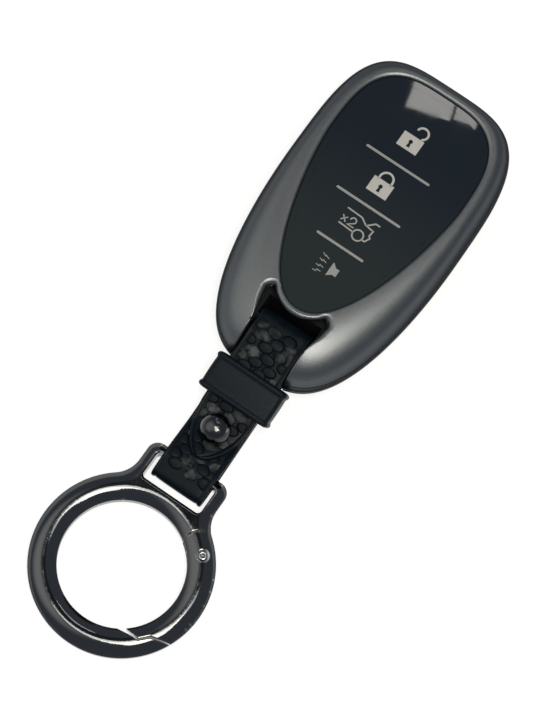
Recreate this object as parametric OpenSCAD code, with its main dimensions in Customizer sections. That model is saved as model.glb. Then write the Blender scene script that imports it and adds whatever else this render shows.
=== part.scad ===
// Hard cover for a car key fob, with a leather strap and a spring-gate ring.
// Lies on its back: +Z up, +Y towards the case's top end, the ring at the -Y end.
// The origin is the middle of the case's flat back. Millimetres.

/* [Case] */
// Length of the case
case_l = 80; // [76:1:88]
// Width of the case at its widest
case_w = 46; // [44:0.5:52]
// Height of the case, back to ridge
case_h = 17.5; // [16.5:0.5:20]
// How far the widest place lies towards the top end
case_wide_y = 8; // [4:1:12]
// Height of the back shell's rim
back_h = 7.4; // [6.8:0.2:8]
// Radius of the rounding round the flat back
back_round = 5; // [4:0.5:6]
// Wall of both metal shells
shell_t = 1.4; // [1.2:0.1:1.6]
// Soft lining inside both shells
liner_t = 0.8; // [0.6:0.1:1]
// Height of the soft bead between the shells
bead_h = 0.7; // [0.5:0.1:0.9]

/* [Key panel] */
// Width of the metal beside the panel's opening, at its widest
side_band = 5.5; // [5:0.1:7]
// Width of the metal above the opening
top_band = 4.4; // [4:0.1:6]
// Width of the metal below the opening's tip
tip_band = 15.2; // [15:0.1:18]
// How far the opening's widest place lies above the case's own
panel_rise = 7; // [6:0.2:9]
// Drop from the ridge to the panel's face
panel_drop = 0.7; // [0.5:0.1:0.9]
// Width of the bevelled lip round the opening
lip_w = 0.9; // [0.6:0.1:1.2]
// Width of the panel's rim round the keys
rim_w = 1.5; // [1.2:0.1:1.8]
// Width of the bars between the keys
bar_w = 1.1; // [0.9:0.1:1.4]
// Gap round each key
key_gap = 0.08; // [0.06:0.02:0.16]
// How far a key goes down
key_travel = 0.5; // [0.3:0.1:0.6]
// Depth of the dish in each key's face
key_dish = 0.25; // [0.1:0.05:0.35]

/* [Strap] */
// Width of the strap
strap_w = 13.2; // [12:0.2:14]
// Thickness of the outer leather
face_t = 0.8; // [0.6:0.1:0.9]
// Thickness of the strap's lining
lining_t = 0.5; // [0.4:0.1:0.6]
// Gap at each side of the strap in its notch
notch_gap = 0.4; // [0.3:0.1:0.7]
// Diameter of the pin that the strap hangs on
pin_d = 3; // [2.6:0.1:3.2]
// Distance from the case's lower end to that pin
pin_inset = 10.6; // [10.4:0.1:11]
// Height of that pin above the back
pin_z = 9.5; // [9:0.1:10]
// Distance from the pin to the stud
stud_dist = 26.3; // [26:0.1:28]
// Diameter of the stud's ball head
stud_d = 7; // [6:0.2:7.4]
// Length of the keeper along the strap
keeper_l = 9; // [8:0.2:9.6]
// Leather thickness of the keeper's top and bottom
keeper_t = 1.4; // [1.1:0.1:1.5]
// Leather thickness of the keeper's sides
keeper_side_t = 1.8; // [1.6:0.1:2.2]

/* [Ring] */
// Diameter of the ring's hole
ring_hole_d = 28.4; // [26:0.2:32]
// Width of the ring's bar, seen from above
ring_bar = 6.4; // [6:0.1:7]
// Height of the ring's bar
ring_h = 5.2; // [5:0.1:5.6]
// Distance from the case pin to the bail's cross bar
bail_dist = 35.8; // [35.6:0.1:38]
// Diameter of the bail's cross bar
bail_bar_d = 2; // [1.8:0.1:2.1]
// Width across the bail's arms
bail_w = 20.6; // [20:0.2:22]
// Width of the window in the bail
window_w = 15.4; // [14.8:0.2:15.6]
// Distance from the cross bar to the far side of the window
window_l = 7.8; // [7.6:0.1:9]
// Diameter of the gate's pivot pin
pivot_d = 2; // [1.6:0.1:2.2]

/* [Hidden] */

over = 1;               // how far a cut runs past what it cuts
far = 60;               // longer than any cut needs
loft_n = 64;            // points round each shell
fit = 0.05;             // gap between fixed pieces
run = 0.15;             // gap between pieces that move past each other
arc_step = 15;          // degrees between points on a bend
half_turn = 180;
round_n = 48;           // segments of every round piece
dish_n = 720;           // segments of the wide dish in a key

shell_grey = "dimgray";
panel_black = "#1c2226";
leather_black = "#20242a";
soft_black = "#2a2c2e";
ring_nickel = "slategray";

case_tail = case_l / 2 + case_wide_y;
case_head = case_l / 2 - case_wide_y;
// Half width, length above and below the widest place, its y, and four exponents
case_egg = [case_w / 2, case_head, case_tail, case_wide_y, [4, 3.5], [3.2, 2.1]];
panel_top = case_l / 2 - top_band;
panel_tip = tip_band - case_l / 2;
panel_wide_y = case_wide_y + panel_rise;
panel_egg = [case_w / 2 - side_band, panel_top - panel_wide_y, panel_wide_y - panel_tip,
    panel_wide_y, [3.3, 3.1], [2.08, 1.44]];

seam_z = back_h + bead_h;
bead_in = 0.3;
bead_w = 0.9;
dome_n = 8;
bowl_n = 6;
dome_power = 0.86;      // below 1 fills the dome's shoulder

// The panel: a rim flush with the keys, and a flange held between shell and lining
panel_z = case_h - panel_drop;
rim_h = 1;
rim_z = panel_z - rim_h;
flange_w = 1;
flange_h = 1.1;
flange_top = case_h - shell_t - fit;
flange_z = flange_top - flange_h;
flange_room = flange_w + 2 * fit;
ledge_w = 0.3;          // how far the lining's ledge clears the opening

// The keys: each has a foot that catches under the rim, and a stem above the fob
foot_gap = 0.15;
foot_top = rim_z - foot_gap;
foot_h = 0.35;
foot_w = 0.5;
foot_z = foot_top - foot_h;
fob_drop = 3;           // from the ridge down to the fob's own buttons
stem_d = 5;
stem_z = case_h - fob_drop + key_travel;

// Shares of the panel's length at which the bars between the keys lie, from its top
bar_shares = [0.326, 0.525, 0.714];
bar_ys = [for (s = bar_shares) mix(panel_top, panel_tip, s)];
key_edges = concat([panel_top + over], bar_ys, [panel_tip - over]);

strap_t = face_t + lining_t;
layer_gap = 0.08;       // gap between two layers of the strap
pin_r = pin_d / 2;
pin_y = pin_inset - case_l / 2;
pin_play = 0.25;
loop_r = pin_r + pin_play;
pin_head_w = 0.7;
pin_head_t = 0.8;

// The notch in the front shell, and the lugs that stand up inside it
notch_w = strap_w + 2 * notch_gap;
notch_flare = 1;
notch_reach = 1.5;      // how far its top edge lies past the panel's tip
notch_top = panel_tip + notch_reach;
notch_rim = 1.8;
notch_round = 1.4;
lug_t = 2;
lug_wall = 1.3;
lug_gap = 0.3;
sill_w = 3.15;          // from the case's end to the channel's inner wall
sill_drop = 2.2;        // how far the sill falls away below the keeper
sill_top_w = 0.4;
lug_w = notch_w + 2 * lug_t;
lug_top = pin_z + pin_r + lug_wall;
lug_y = notch_top - notch_flare + lug_t;

ring_r = ring_hole_d / 2;
ring_out = ring_r + ring_bar;
ring_z = ring_h / 2;
bail_bar_r = bail_bar_d / 2;
bail_y = pin_y - bail_dist;
window_share = 0.66;    // share of the bar's width that the window leaves
ring_y = bail_y - window_l - ring_r - window_share * ring_bar;
stud_y = pin_y - stud_dist;

// Lengths along the strap, and the radii of its bends
bend_r = 6;
fold_r = 0.69;
fold_share = 2.03;
low_run = 3.3;
bend_run = 3.9;
wrap_run = 2.2;
join_run = 4.6;
floor_run = 2.5;
fold_run = 4.6;
crest_run = 0.65;
bail_play = 0.35;
mid_l = 12;
tongue_l = 7.6;
tip_l = 7.2;
tip_power = 0.9;

// Corners of the strap's inner surface: y, z and the radius of the bend
crest_z = ring_z + bail_bar_r + bail_play;
low_a = [pin_y - low_run, pin_z - loop_r];
low_d = [bail_y + floor_run, strap_t];
low_dir = unit(low_d - low_a);
low_up = [low_dir.y, -low_dir.x];
stud_s = (low_a.x - stud_y) / -low_dir.x;
mid_valley = low_a + stud_s * low_dir + layer_gap * low_up;
mid_crest = [bail_y + crest_run, crest_z];
mid_dir = unit(mid_crest - mid_valley);
mid_up = [mid_dir.y, -mid_dir.x];
layer = strap_t + layer_gap;
pinch_up = unit(low_up + mid_up) * layer / (unit(low_up + mid_up) * low_up);
top_valley = mid_valley + pinch_up;
top_tip = mid_valley + mid_dir * tongue_l + layer * mid_up;
top_join = low_a + (stud_s - join_run) * low_dir + (layer + layer_gap) * low_up;
top_bend = [pin_y - bend_run, pin_z + loop_r];
top_end = [pin_y - wrap_run, pin_z + loop_r];
mid_end = low_a + (stud_s - mid_l) * low_dir + layer_gap * low_up;

top_path = [top_tip, concat(top_valley, bend_r), concat(top_join, bend_r),
    concat(top_bend, bend_r), top_end];
loop_path = [top_end,
    [pin_y + loop_r, pin_z + loop_r, loop_r], [pin_y + loop_r, pin_z - loop_r, loop_r],
    concat(low_a, bend_r), concat(low_d, bend_r),
    [bail_y - fold_run, strap_t, fold_r], [bail_y - fold_run, strap_t + fold_share * fold_r, fold_r],
    [bail_y - crest_run, crest_z, fold_r], concat(mid_crest, 2 * fold_r),
    concat(mid_valley, bend_r + layer), mid_end];

// The keeper, which lies across the strap and leans with it
keeper_gap = 0.5;
keeper_squeeze = 0.4;   // how much lower it is than the strap's loop
keeper_in_h = 2 * loop_r + 2 * strap_t - keeper_squeeze;
keeper_round = 1.2;
keeper_lip = 0.3;
keeper_lip_l = 1.1;
keeper_tilt = 15.2;
keeper_dist = 14.9;
keeper_drop = 3.25;

// The stud, and the screw that holds it from below
neck_r = 1.6;
stud_r = stud_d / 2;
stud_lift = 0.2;        // gap between the stud's foot and the leather below
stud_gap = 0.6;         // gap between the ball and the tongue
stud_share = 0.47;      // how far the ball's flat lies below its centre
stud_foot_z = mid_valley.y + strap_t + stud_lift;
stud_cut_z = stud_foot_z + strap_t + stud_gap;
stud_z = stud_cut_z + stud_share * stud_r;
shank_r = 1.1;
screw_head_r = 2.6;
screw_z = 0.5;
screw_head_t = 0.9;
slit_l = 4.2;
slit_w = 0.5;

// Ring section: shares of the bar's width and of half its height
section_shares = [[0, 0.4], [0.06, 0.66], [0.2, 0.88], [0.42, 1], [0.68, 0.86], [0.88, 0.56],
    [1, 0.18]];
// Gate's nose, and the step that it closes on: shares of the ring's outer radius
nose_shares = [[1.2, -0.345], [0.893, -0.413], [0.694, -0.471], [0.602, -0.563],
    [0.427, -0.539], [0.2, -0.1]];
step_shares = [[1.2, -0.358], [0.893, -0.425], [0.7, -0.484], [0.61, -0.573], [0.495, -0.578],
    [0.35, -0.592], [0.2, -0.1]];
pivot_shares = [0.66, 0.549];
pivot = ring_out * pivot_shares;
region_shares = [0.3, 1.3];
knuckle_share = 0.27;
knuckle_r = knuckle_share * ring_out;
tongue_h = 1.8;
tongue_w = 3.6;
tongue_r = 2.3;
tongue_turn = 138;

// The gate's rivet, and the spring in its blind hole
rivet_share = 0.8;
rivet_hole_share = 0.22;
rivet_r = rivet_share * pivot_d;
rivet_hole_r = rivet_hole_share * pivot_d;
rivet_t = 0.35;
spring_r = 0.85;
spring_wire_r = 0.2;
spring_turns = 6;
spring_steps = 12;
wire_sides = 6;
spring_l = 4.6;
spring_offset = 1.1;
spring_start = tongue_r + 2 * run + spring_wire_r;
spring_hole_r = spring_r + spring_wire_r + run;
spring_hole_l = spring_start + spring_l + spring_wire_r + fit;

// The bail, whose outline starts inside the ring at these shares of its half width
bail_root_shares = [[0.4, 0.4], [0.8, 0.1]];
bail_h = 4.2;
bail_chamfer = 0.6;
bail_round = 2.6;
bail_fillet = 7;
bail_lap = 0.1;
bail_top = bail_y + bail_bar_r + bail_lap;
window_round = 1;

function unit(v) = v / norm(v);
function bent(v, p) = sign(v) * pow(abs(v), p);
function mix(a, b, t) = a + (b - a) * t;

// Points of an egg-shaped outline, each half a superellipse, drawn in by inset
function egg(e, inset = 0) = [for (i = [0 : loft_n - 1])
    let (u = 360 * i / loft_n, up = sin(u) >= 0, k = up ? e[4] : e[5], len = up ? e[1] : e[2])
    [(e[0] - inset) * bent(cos(u), 2 / k[0]), e[3] + (len - inset) * bent(sin(u), 2 / k[1])]];

function at_z(points, z) = [for (p = points) [p.x, p.y, z]];

// Rings of a dome that closes from the case's outline onto the panel's opening
function dome(inset, z_low, z_high, grow) = [for (k = [0 : dome_n])
    let (a = 90 * k / dome_n, t = 1 - pow(cos(a), dome_power), from = egg(case_egg, inset),
        to = egg(panel_egg, -grow), z = mix(z_low, z_high, pow(sin(a), dome_power)))
    [for (i = [0 : loft_n - 1]) [mix(from[i].x, to[i].x, t), mix(from[i].y, to[i].y, t), z]]];

// Rings of a bowl that opens from a flat floor up to the case's outline
function bowl(inset, z_floor, z_rim, r) = [for (k = [0 : bowl_n])
    let (a = 90 * (1 - k / bowl_n))
    at_z(egg(case_egg, inset + r * (1 - cos(a))), mix(z_rim, z_floor, sin(a)))];

function flipped(v) = [for (i = [len(v) - 1 : -1 : 0]) v[i]];

// A solid through rings of points: open at both ends and capped, or closed on itself
module loft(rings, closed = false) {
    n = len(rings[0]);
    last = len(rings) - 1;
    steps = closed ? last : last - 1;
    sides = [for (k = [0 : steps]) let (m = (k + 1) % (last + 1)) for (i = [0 : n - 1])
        let (j = (i + 1) % n) each [[k * n + i, m * n + i, k * n + j],
            [k * n + j, m * n + i, m * n + j]]];
    caps = closed ? [] : [[for (i = [0 : n - 1]) i],
        [for (i = [n - 1 : -1 : 0]) last * n + i]];
    polyhedron(points = [for (r = rings) each r], faces = concat(caps, sides));
}

module prism(z_low, z_high) {
    translate([0, 0, z_low]) linear_extrude(z_high - z_low) children();
}

module rounded_box(w, h, r) {
    square([w - 2 * r, h], center = true);
    square([w, h - 2 * r], center = true);
    for (x = [-1, 1], y = [-1, 1])
        translate([x * (w / 2 - r), y * (h / 2 - r)]) circle(r, $fn = round_n);
}

// A profile drawn in y and z, extruded across the strap's width
module across(w) {
    rotate([90, 0, 90]) translate([0, 0, -w / 2]) linear_extrude(w) children();
}

// The notch in the front shell, seen from above
module notch_outline() {
    top_w = notch_w / 2 + notch_flare;
    corner_x = top_w - notch_round;
    difference() {
        union() {
            polygon([[-notch_w / 2, -far], [notch_w / 2, -far], [notch_w / 2, pin_y - pin_d],
                [top_w, notch_top - notch_round], [-top_w, notch_top - notch_round],
                [-notch_w / 2, pin_y - pin_d]]);
            translate([-corner_x, notch_top - notch_round]) square([2 * corner_x, notch_round]);
            for (x = [-1, 1]) translate([x * corner_x, notch_top - notch_round])
                circle(notch_round, $fn = round_n);
        }
        polygon(egg(panel_egg, -notch_rim));
    }
}

// What the strap's channel takes out of the back shell, seen from the side
module channel_profile() {
    sill_y = sill_w - case_l / 2;
    sill_z = low_a.y - strap_t - 2 * pin_play + (sill_y - low_a.x) * low_dir.y / low_dir.x;
    polygon([[notch_top - notch_flare, shell_t], [sill_y, shell_t], [sill_y, sill_z],
        [sill_y - sill_top_w, sill_z], [sill_y - sill_w / 2, sill_z - sill_drop],
        [-far, sill_z - sill_drop], [-far, far], [notch_top - notch_flare, far]]);
}

module pin_bore(r) {
    translate([0, pin_y, pin_z]) rotate([0, 90, 0])
        cylinder(h = notch_w + 2 * lug_t + 2 * over, r = r, center = true, $fn = round_n);
}

// The block round the strap's channel and pin, and the room that it needs
module lugs(room = 0) {
    w = lug_w + 2 * room;
    translate([-w / 2, -far, 0]) cube([w, far + lug_y + room, lug_top + far * sign(room)]);
}

module back_shell() color(shell_grey) {
    outside = bowl(0, 0, back_h, back_round);
    inset = shell_t + lug_gap;
    difference() {
        union() {
            loft(concat(outside, flipped(bowl(shell_t, shell_t, back_h, back_round - shell_t / 2))));
            intersection() {
                loft(concat(outside, [at_z(egg(case_egg, inset), back_h)],
                    dome(inset, seam_z, case_h - inset, lip_w)));
                lugs();
            }
        }
        across(notch_w) channel_profile();
        pin_bore(pin_r + fit / 2);
    }
}

module back_liner() color(soft_black) {
    inset = shell_t + fit;
    r = back_round - shell_t / 2;
    difference() {
        loft(concat(bowl(inset, inset, back_h, r),
            [at_z(egg(case_egg, inset + 2 * fit), seam_z + over)],
            [at_z(egg(case_egg, inset + liner_t), seam_z + over)],
            flipped(bowl(inset + liner_t, inset + liner_t, back_h, r - liner_t / 2))));
        lugs(fit);
    }
}

module seam_gasket() color(soft_black) {
    prism(back_h, seam_z - fit) difference() {
        polygon(egg(case_egg, bead_in));
        polygon(egg(case_egg, bead_in + bead_w));
        translate([-notch_w / 2, -far]) square([notch_w, far / 2]);
    }
}

// The pin has a flat head at one end and a chamfer at the other
module strap_bar() color(ring_nickel) {
    bevel = pin_r / 4;
    head_r = pin_r + pin_head_w;
    translate([-lug_w / 2, pin_y, pin_z]) rotate([0, 90, 0]) rotate_extrude($fn = round_n)
        polygon([[0, -pin_head_t], [head_r, -pin_head_t], [head_r, -fit], [pin_r, -fit],
            [pin_r, lug_w - bevel], [pin_r - bevel, lug_w], [0, lug_w]]);
}

module front_shell() color(shell_grey) {
    outside = dome(0, seam_z, case_h, lip_w);
    inside = dome(shell_t, seam_z, case_h - shell_t, flange_room);
    difference() {
        loft(concat(outside, [at_z(egg(panel_egg), panel_z + fit)],
            [at_z(egg(panel_egg), case_h - shell_t)], flipped(inside)), closed = true);
        prism(0, case_h + over) notch_outline();
    }
}

module front_liner() color(soft_black) {
    inset = shell_t + fit;
    shelf = flange_z - fit;
    difference() {
        loft(concat(dome(inset, seam_z, flange_top, flange_room),
            [at_z(egg(panel_egg, -flange_room), shelf)], [at_z(egg(panel_egg, -ledge_w), shelf)],
            flipped(dome(inset + liner_t, seam_z, shelf - liner_t, ledge_w))), closed = true);
        prism(0, seam_z + over + fit) square(2 * far, center = true);
        lugs(lug_gap);
    }
}

// Everything between two heights on the panel, across the key number i
module key_band(i, inset, grow) {
    y_high = key_edges[i] - bar_w / 2 - key_gap + grow;
    y_low = key_edges[i + 1] + bar_w / 2 + key_gap - grow;
    intersection() {
        polygon(egg(panel_egg, inset));
        translate([-far, y_low]) square([2 * far, y_high - y_low]);
    }
}

module key_panel() color(panel_black) {
    prism(rim_z, panel_z) difference() {
        polygon(egg(panel_egg, fit));
        for (i = [0 : 3]) key_band(i, rim_w, key_gap);
    }
    prism(flange_z, flange_top) difference() {
        polygon(egg(panel_egg, -flange_w));
        polygon(egg(panel_egg, rim_w - foot_w - 2 * key_gap));
    }
}

// A key: face with a shallow dish, a foot that catches under the rim, and a stem
module key_pad(i) color(panel_black) {
    y_high = min(key_edges[i], panel_top);
    y_low = max(key_edges[i + 1], panel_tip);
    span = y_high - y_low;
    dish_r = span * span / (8 * key_dish);
    middle = (y_high + y_low) / 2;
    difference() {
        prism(foot_z, panel_z) key_band(i, rim_w + key_gap, 0);
        translate([0, middle, panel_z - key_dish + dish_r]) rotate([0, 90, 0])
            cylinder(h = case_w, r = dish_r, center = true, $fn = dish_n);
    }
    prism(foot_z, foot_top) key_band(i, rim_w + key_gap - foot_w, foot_w - 2 * key_gap);
    prism(stem_z, foot_top) translate([0, middle]) circle(d = stem_d, $fn = round_n);
}

// Samples along a path of corners: y, z and the normal on its left
function path_samples(path) = let (n = len(path)) [
    for (i = [0 : n - 1]) let (c = [path[i][0], path[i][1]])
        if (i == 0) let (d = unit([path[1][0], path[1][1]] - c)) [c.x, c.y, -d.y, d.x]
        else if (i == n - 1) let (d = unit(c - [path[i - 1][0], path[i - 1][1]]))
            [c.x, c.y, -d.y, d.x]
        else let (a = unit([path[i - 1][0], path[i - 1][1]] - c),
            b = unit([path[i + 1][0], path[i + 1][1]] - c), r = path[i][2],
            half = acos(a * b) / 2, middle = c + unit(a + b) * r / sin(half),
            side = sign(a.x * b.y - a.y * b.x), turn = half_turn - 2 * half,
            steps = max(1, ceil(turn / arc_step)), s = c + a * r / tan(half) - middle,
            from = atan2(s.y, s.x))
            for (k = [0 : steps]) let (t = from + side * turn * k / steps * -1,
                out = [cos(t), sin(t)]) [middle.x + r * out.x, middle.y + r * out.y,
                    -side * -out.x, -side * -out.y]];

// The strip between two distances outside the strap's inner surface
module strip(path, low, high) {
    s = path_samples(path);
    polygon(concat([for (p = s) [p[0] + low * p[2], p[1] + low * p[3]]],
        flipped([for (p = s) [p[0] + high * p[2], p[1] + high * p[3]]])));
}

// The tongue's pointed end, seen from above
module tongue_outline() {
    tip_y = top_tip.x;
    half = strap_w / 2;
    arch = [for (a = [0 : arc_step : 180])
        [half * bent(cos(a), tip_power), tip_y + tip_l * (1 - sin(a))]];
    polygon(concat(arch, [[-half, 0], [half, 0]]));
}

module leather(low, high) {
    intersection() {
        across(strap_w) strip(top_path, low, high);
        prism(-over, 2 * pin_z) tongue_outline();
    }
    across(strap_w) strip(loop_path, low, high);
}

// Holes through the layers for the stud, its slit and the screw
module stud_holes() {
    translate([0, stud_y, 0]) {
        cylinder(h = 2 * pin_z, r = shank_r + run, $fn = round_n);
        cylinder(h = screw_z + screw_head_t + fit, r = screw_head_r + run, $fn = round_n);
        translate([0, 0, stud_foot_z - run]) cylinder(h = pin_z, r = neck_r + run, $fn = round_n);
        translate([-slit_w / 2, 0, top_valley.y - layer_gap / 2])
            cube([slit_w, neck_r + slit_l, pin_z]);
    }
}

module strap_face() color(leather_black) difference() {
    leather(lining_t, strap_t);
    stud_holes();
}

module strap_lining() color(soft_black) difference() {
    leather(0, lining_t);
    stud_holes();
}

module stud_head() color(ring_nickel) translate([0, stud_y, 0]) {
    translate([0, 0, stud_foot_z]) cylinder(h = stud_z - stud_foot_z, r = neck_r, $fn = round_n);
    difference() {
        translate([0, 0, stud_z]) sphere(stud_r, $fn = round_n);
        translate([0, 0, stud_cut_z - stud_d]) cylinder(h = stud_d, r = stud_d, $fn = round_n);
    }
}

module stud_screw() color(ring_nickel) translate([0, stud_y, 0]) {
    translate([0, 0, screw_z]) cylinder(h = screw_head_t, r = screw_head_r, $fn = round_n);
    translate([0, 0, screw_z]) cylinder(h = stud_foot_z - screw_z - fit, r = shank_r, $fn = round_n);
}

// A loop of leather round the strap, with a raised lip along both edges
module keeper_loop() color(leather_black) {
    in_w = strap_w + 2 * keeper_gap;
    out_w = in_w + 2 * keeper_side_t;
    out_h = keeper_in_h + 2 * keeper_t;
    translate([0, pin_y - keeper_dist, pin_z - keeper_drop])
        rotate([90 + keeper_tilt, 0, 0]) difference() {
        union() {
            translate([0, 0, -keeper_l / 2]) linear_extrude(keeper_l)
                rounded_box(out_w, out_h, keeper_round);
            for (z = [-keeper_l / 2, keeper_l / 2 - keeper_lip_l]) translate([0, 0, z])
                linear_extrude(keeper_lip_l)
                    rounded_box(out_w + 2 * keeper_lip, out_h + 2 * keeper_lip, keeper_round);
        }
        translate([0, 0, -keeper_l]) linear_extrude(2 * keeper_l)
            rounded_box(in_w, keeper_in_h, keeper_round / 2);
    }
}

// The section of the ring's bar, all the way round
module ring_solid() {
    upper = [for (s = section_shares) [ring_r + s.x * ring_bar, s.y * ring_z]];
    lower = [for (p = upper) [p.x, -p.y]];
    translate([0, ring_y, ring_z]) rotate_extrude($fn = 2 * round_n)
        polygon(concat(upper, flipped(lower)));
}

// All that belongs to the gate: round its pivot, and from there down to its nose
module gate_region(shares, r) {
    prism(-over, ring_h + over) translate([0, ring_y])
        polygon(concat([region_shares[1] * pivot, [region_shares[1] * ring_out, 0]],
            [for (s = shares) ring_out * s], [region_shares[0] * pivot]));
    translate([pivot.x, ring_y + pivot.y, -2 * over])
        cylinder(h = ring_h + 4 * over, r = r, $fn = round_n);
}

// Half of the bail's outline, drawn in by inset, from the ring up to the arm's top
function bail_half(inset) = let (
    out = bail_w / 2, fx = out + bail_fillet,
    fy = sqrt(pow(ring_out + bail_fillet, 2) - fx * fx), from = atan2(fy, fx),
    r = bail_fillet + inset, tx = out - bail_round, ty = bail_top - bail_round)
    concat([for (s = bail_root_shares) [s.x * out, ring_y + ring_r + s.y * ring_bar]],
        [for (k = [0 : 4]) let (a = half_turn + from * (1 - k / 4))
            [fx + r * cos(a), ring_y + fy + r * sin(a)]],
        [for (k = [0 : 4]) let (a = 90 * k / 4)
            [tx + (bail_round - inset) * cos(a), ty + (bail_round - inset) * sin(a)]]);

function bail_ring(inset, z) = let (h = bail_half(inset))
    at_z(concat(h, flipped([for (p = h) [-p.x, p.y]])), z);

module bail() {
    half = bail_h / 2;
    difference() {
        loft([bail_ring(bail_chamfer, ring_z - half), bail_ring(0, ring_z - half + bail_chamfer),
            bail_ring(0, ring_z + half - bail_chamfer), bail_ring(bail_chamfer, ring_z + half)]);
        window_cut();
    }
    translate([0, bail_y, ring_z]) rotate([0, 90, 0])
        cylinder(h = window_w + bail_bar_d, r = bail_bar_r, center = true, $fn = round_n);
}

module window_cut() {
    prism(-over, ring_h + over) translate([0, bail_y - window_l + far / 2])
        rounded_box(window_w, far, window_round);
}

// The flat tongue that carries the gate's pivot
module pivot_tongue() {
    translate([pivot.x, ring_y + pivot.y, ring_z - tongue_h / 2]) {
        cylinder(h = tongue_h, r = tongue_r, $fn = round_n);
        rotate(tongue_turn) translate([0, -tongue_w / 2, 0])
            cube([knuckle_r + 2 * over, tongue_w, tongue_h]);
    }
}

module pivot_hole(r) {
    translate([pivot.x, ring_y + pivot.y, -over])
        cylinder(h = ring_h + 2 * over, r = r, $fn = round_n);
}

module ring_body() color(ring_nickel) difference() {
    union() {
        difference() {
            union() {
                ring_solid();
                bail();
            }
            window_cut();
            gate_region(step_shares, knuckle_r + run);
        }
        translate([0, bail_y, ring_z]) rotate([0, 90, 0])
            cylinder(h = window_w + bail_bar_d, r = bail_bar_r, center = true, $fn = round_n);
        pivot_tongue();
    }
    pivot_hole(pivot_d / 2 + fit);
}

module ring_gate() color(ring_nickel) difference() {
    intersection() {
        ring_solid();
        gate_region(nose_shares, knuckle_r);
    }
    translate([pivot.x, ring_y + pivot.y, ring_z])
        cylinder(h = tongue_h + 2 * run, r = knuckle_r + run, center = true, $fn = round_n);
    pivot_hole(pivot_d / 2 + fit / 2);
    at_spring() cylinder(h = spring_hole_l, r = spring_hole_r, $fn = round_n);
    for (z = [ring_h - rivet_t - fit, rivet_t + fit - over])
        translate([pivot.x, ring_y + pivot.y, z]) cylinder(h = over, r = rivet_r + fit, $fn = round_n);
}

// A hollow rivet with a rolled head at both ends
module gate_pin() color(ring_nickel)
    translate([pivot.x, ring_y + pivot.y, 0]) rotate_extrude($fn = round_n)
        polygon([[rivet_hole_r, 0], [rivet_r - rivet_t / 2, 0], [rivet_r, rivet_t / 2],
            [rivet_r, rivet_t], [pivot_d / 2, rivet_t], [pivot_d / 2, ring_h - rivet_t],
            [rivet_r, ring_h - rivet_t], [rivet_r, ring_h - rivet_t / 2],
            [rivet_r - rivet_t / 2, ring_h], [rivet_hole_r, ring_h]]);

// Turned so that x runs down the gate from its pivot, along the spring's axis
module at_spring() {
    translate([pivot.x, ring_y + pivot.y, ring_z]) rotate(atan2(pivot.y, pivot.x) - 90)
        translate([0, -spring_offset, 0]) rotate([0, 90, 0]) children();
}

// A coil spring in the gate's blind hole, pushing on the tongue's round end
module gate_spring() color("silver") at_spring()
    loft([for (k = [0 : spring_turns * spring_steps])
        let (a = 360 * k / spring_steps,
            z = spring_start + spring_l * k / (spring_turns * spring_steps))
        [for (i = [0 : wire_sides - 1]) let (w = -360 * i / wire_sides, r = spring_r + spring_wire_r * cos(w))
            [r * cos(a), r * sin(a), z + spring_wire_r * sin(w)]]]);

back_shell();
back_liner();
seam_gasket();
strap_bar();
front_shell();
front_liner();
key_panel();
key_pad(0);  // unlock_pad
key_pad(1);  // lock_pad
key_pad(2);  // boot_pad
key_pad(3);  // horn_pad
strap_face();
strap_lining();
stud_head();
stud_screw();
keeper_loop();
ring_body();
ring_gate();
gate_pin();
gate_spring();
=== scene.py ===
"""Looks of the key fob cover: satin shells, gloss key panel, scale leather and black nickel."""

import math

import bmesh
import bpy
import numpy as np
from mathutils import Matrix, Vector
from mathutils.bvhtree import BVHTree


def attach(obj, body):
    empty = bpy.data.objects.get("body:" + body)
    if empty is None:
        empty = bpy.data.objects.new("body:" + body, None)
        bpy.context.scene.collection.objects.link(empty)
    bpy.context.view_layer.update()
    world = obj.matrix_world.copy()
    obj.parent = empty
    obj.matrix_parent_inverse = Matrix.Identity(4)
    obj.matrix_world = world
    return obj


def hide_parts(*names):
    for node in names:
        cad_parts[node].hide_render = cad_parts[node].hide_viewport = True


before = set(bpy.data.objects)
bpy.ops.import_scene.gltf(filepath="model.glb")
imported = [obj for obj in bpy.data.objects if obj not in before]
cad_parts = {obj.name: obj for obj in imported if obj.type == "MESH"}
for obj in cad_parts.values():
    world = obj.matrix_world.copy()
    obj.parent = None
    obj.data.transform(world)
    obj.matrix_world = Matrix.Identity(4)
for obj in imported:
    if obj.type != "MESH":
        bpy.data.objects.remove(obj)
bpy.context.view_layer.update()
scene = bpy.context.scene

# Sizes in millimetres, as the frame has them
MM = 0.001
CASE_L, CASE_W, CASE_H, CASE_WIDE_Y = 80, 46, 17.5, 8
BACK_H, SEAM_Z, BACK_ROUND, SHELL_T, LINER_T = 7.4, 8.1, 5, 1.4, 0.8
PANEL_Z, LIP_W, RIM_W, BAR_W, KEY_GAP, KEY_DISH = 16.8, 0.9, 1.5, 1.1, 0.012, 0.008
PANEL_TOP, PANEL_TIP, PANEL_WIDE_Y, PANEL_HALF = 35.6, -24.8, 15, 17.5
BAR_Y = tuple(PANEL_TOP + (PANEL_TIP - PANEL_TOP) * share for share in (0.326, 0.525, 0.714))
KEYS = ("unlock", "lock", "boot", "horn")
FIT, FLANGE_ROOM, FLANGE_T, DOME_POWER, AROUND = 0.05, 1.1, 1.1, 0.86, 360
BEYOND = 60  # how far cutting blocks reach past the part
SOFT_EDGE = ((0.32, 0.0), (0.1, 0.08), (0.0, 0.3))  # inset and height of the shells' edges at the seam

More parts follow.
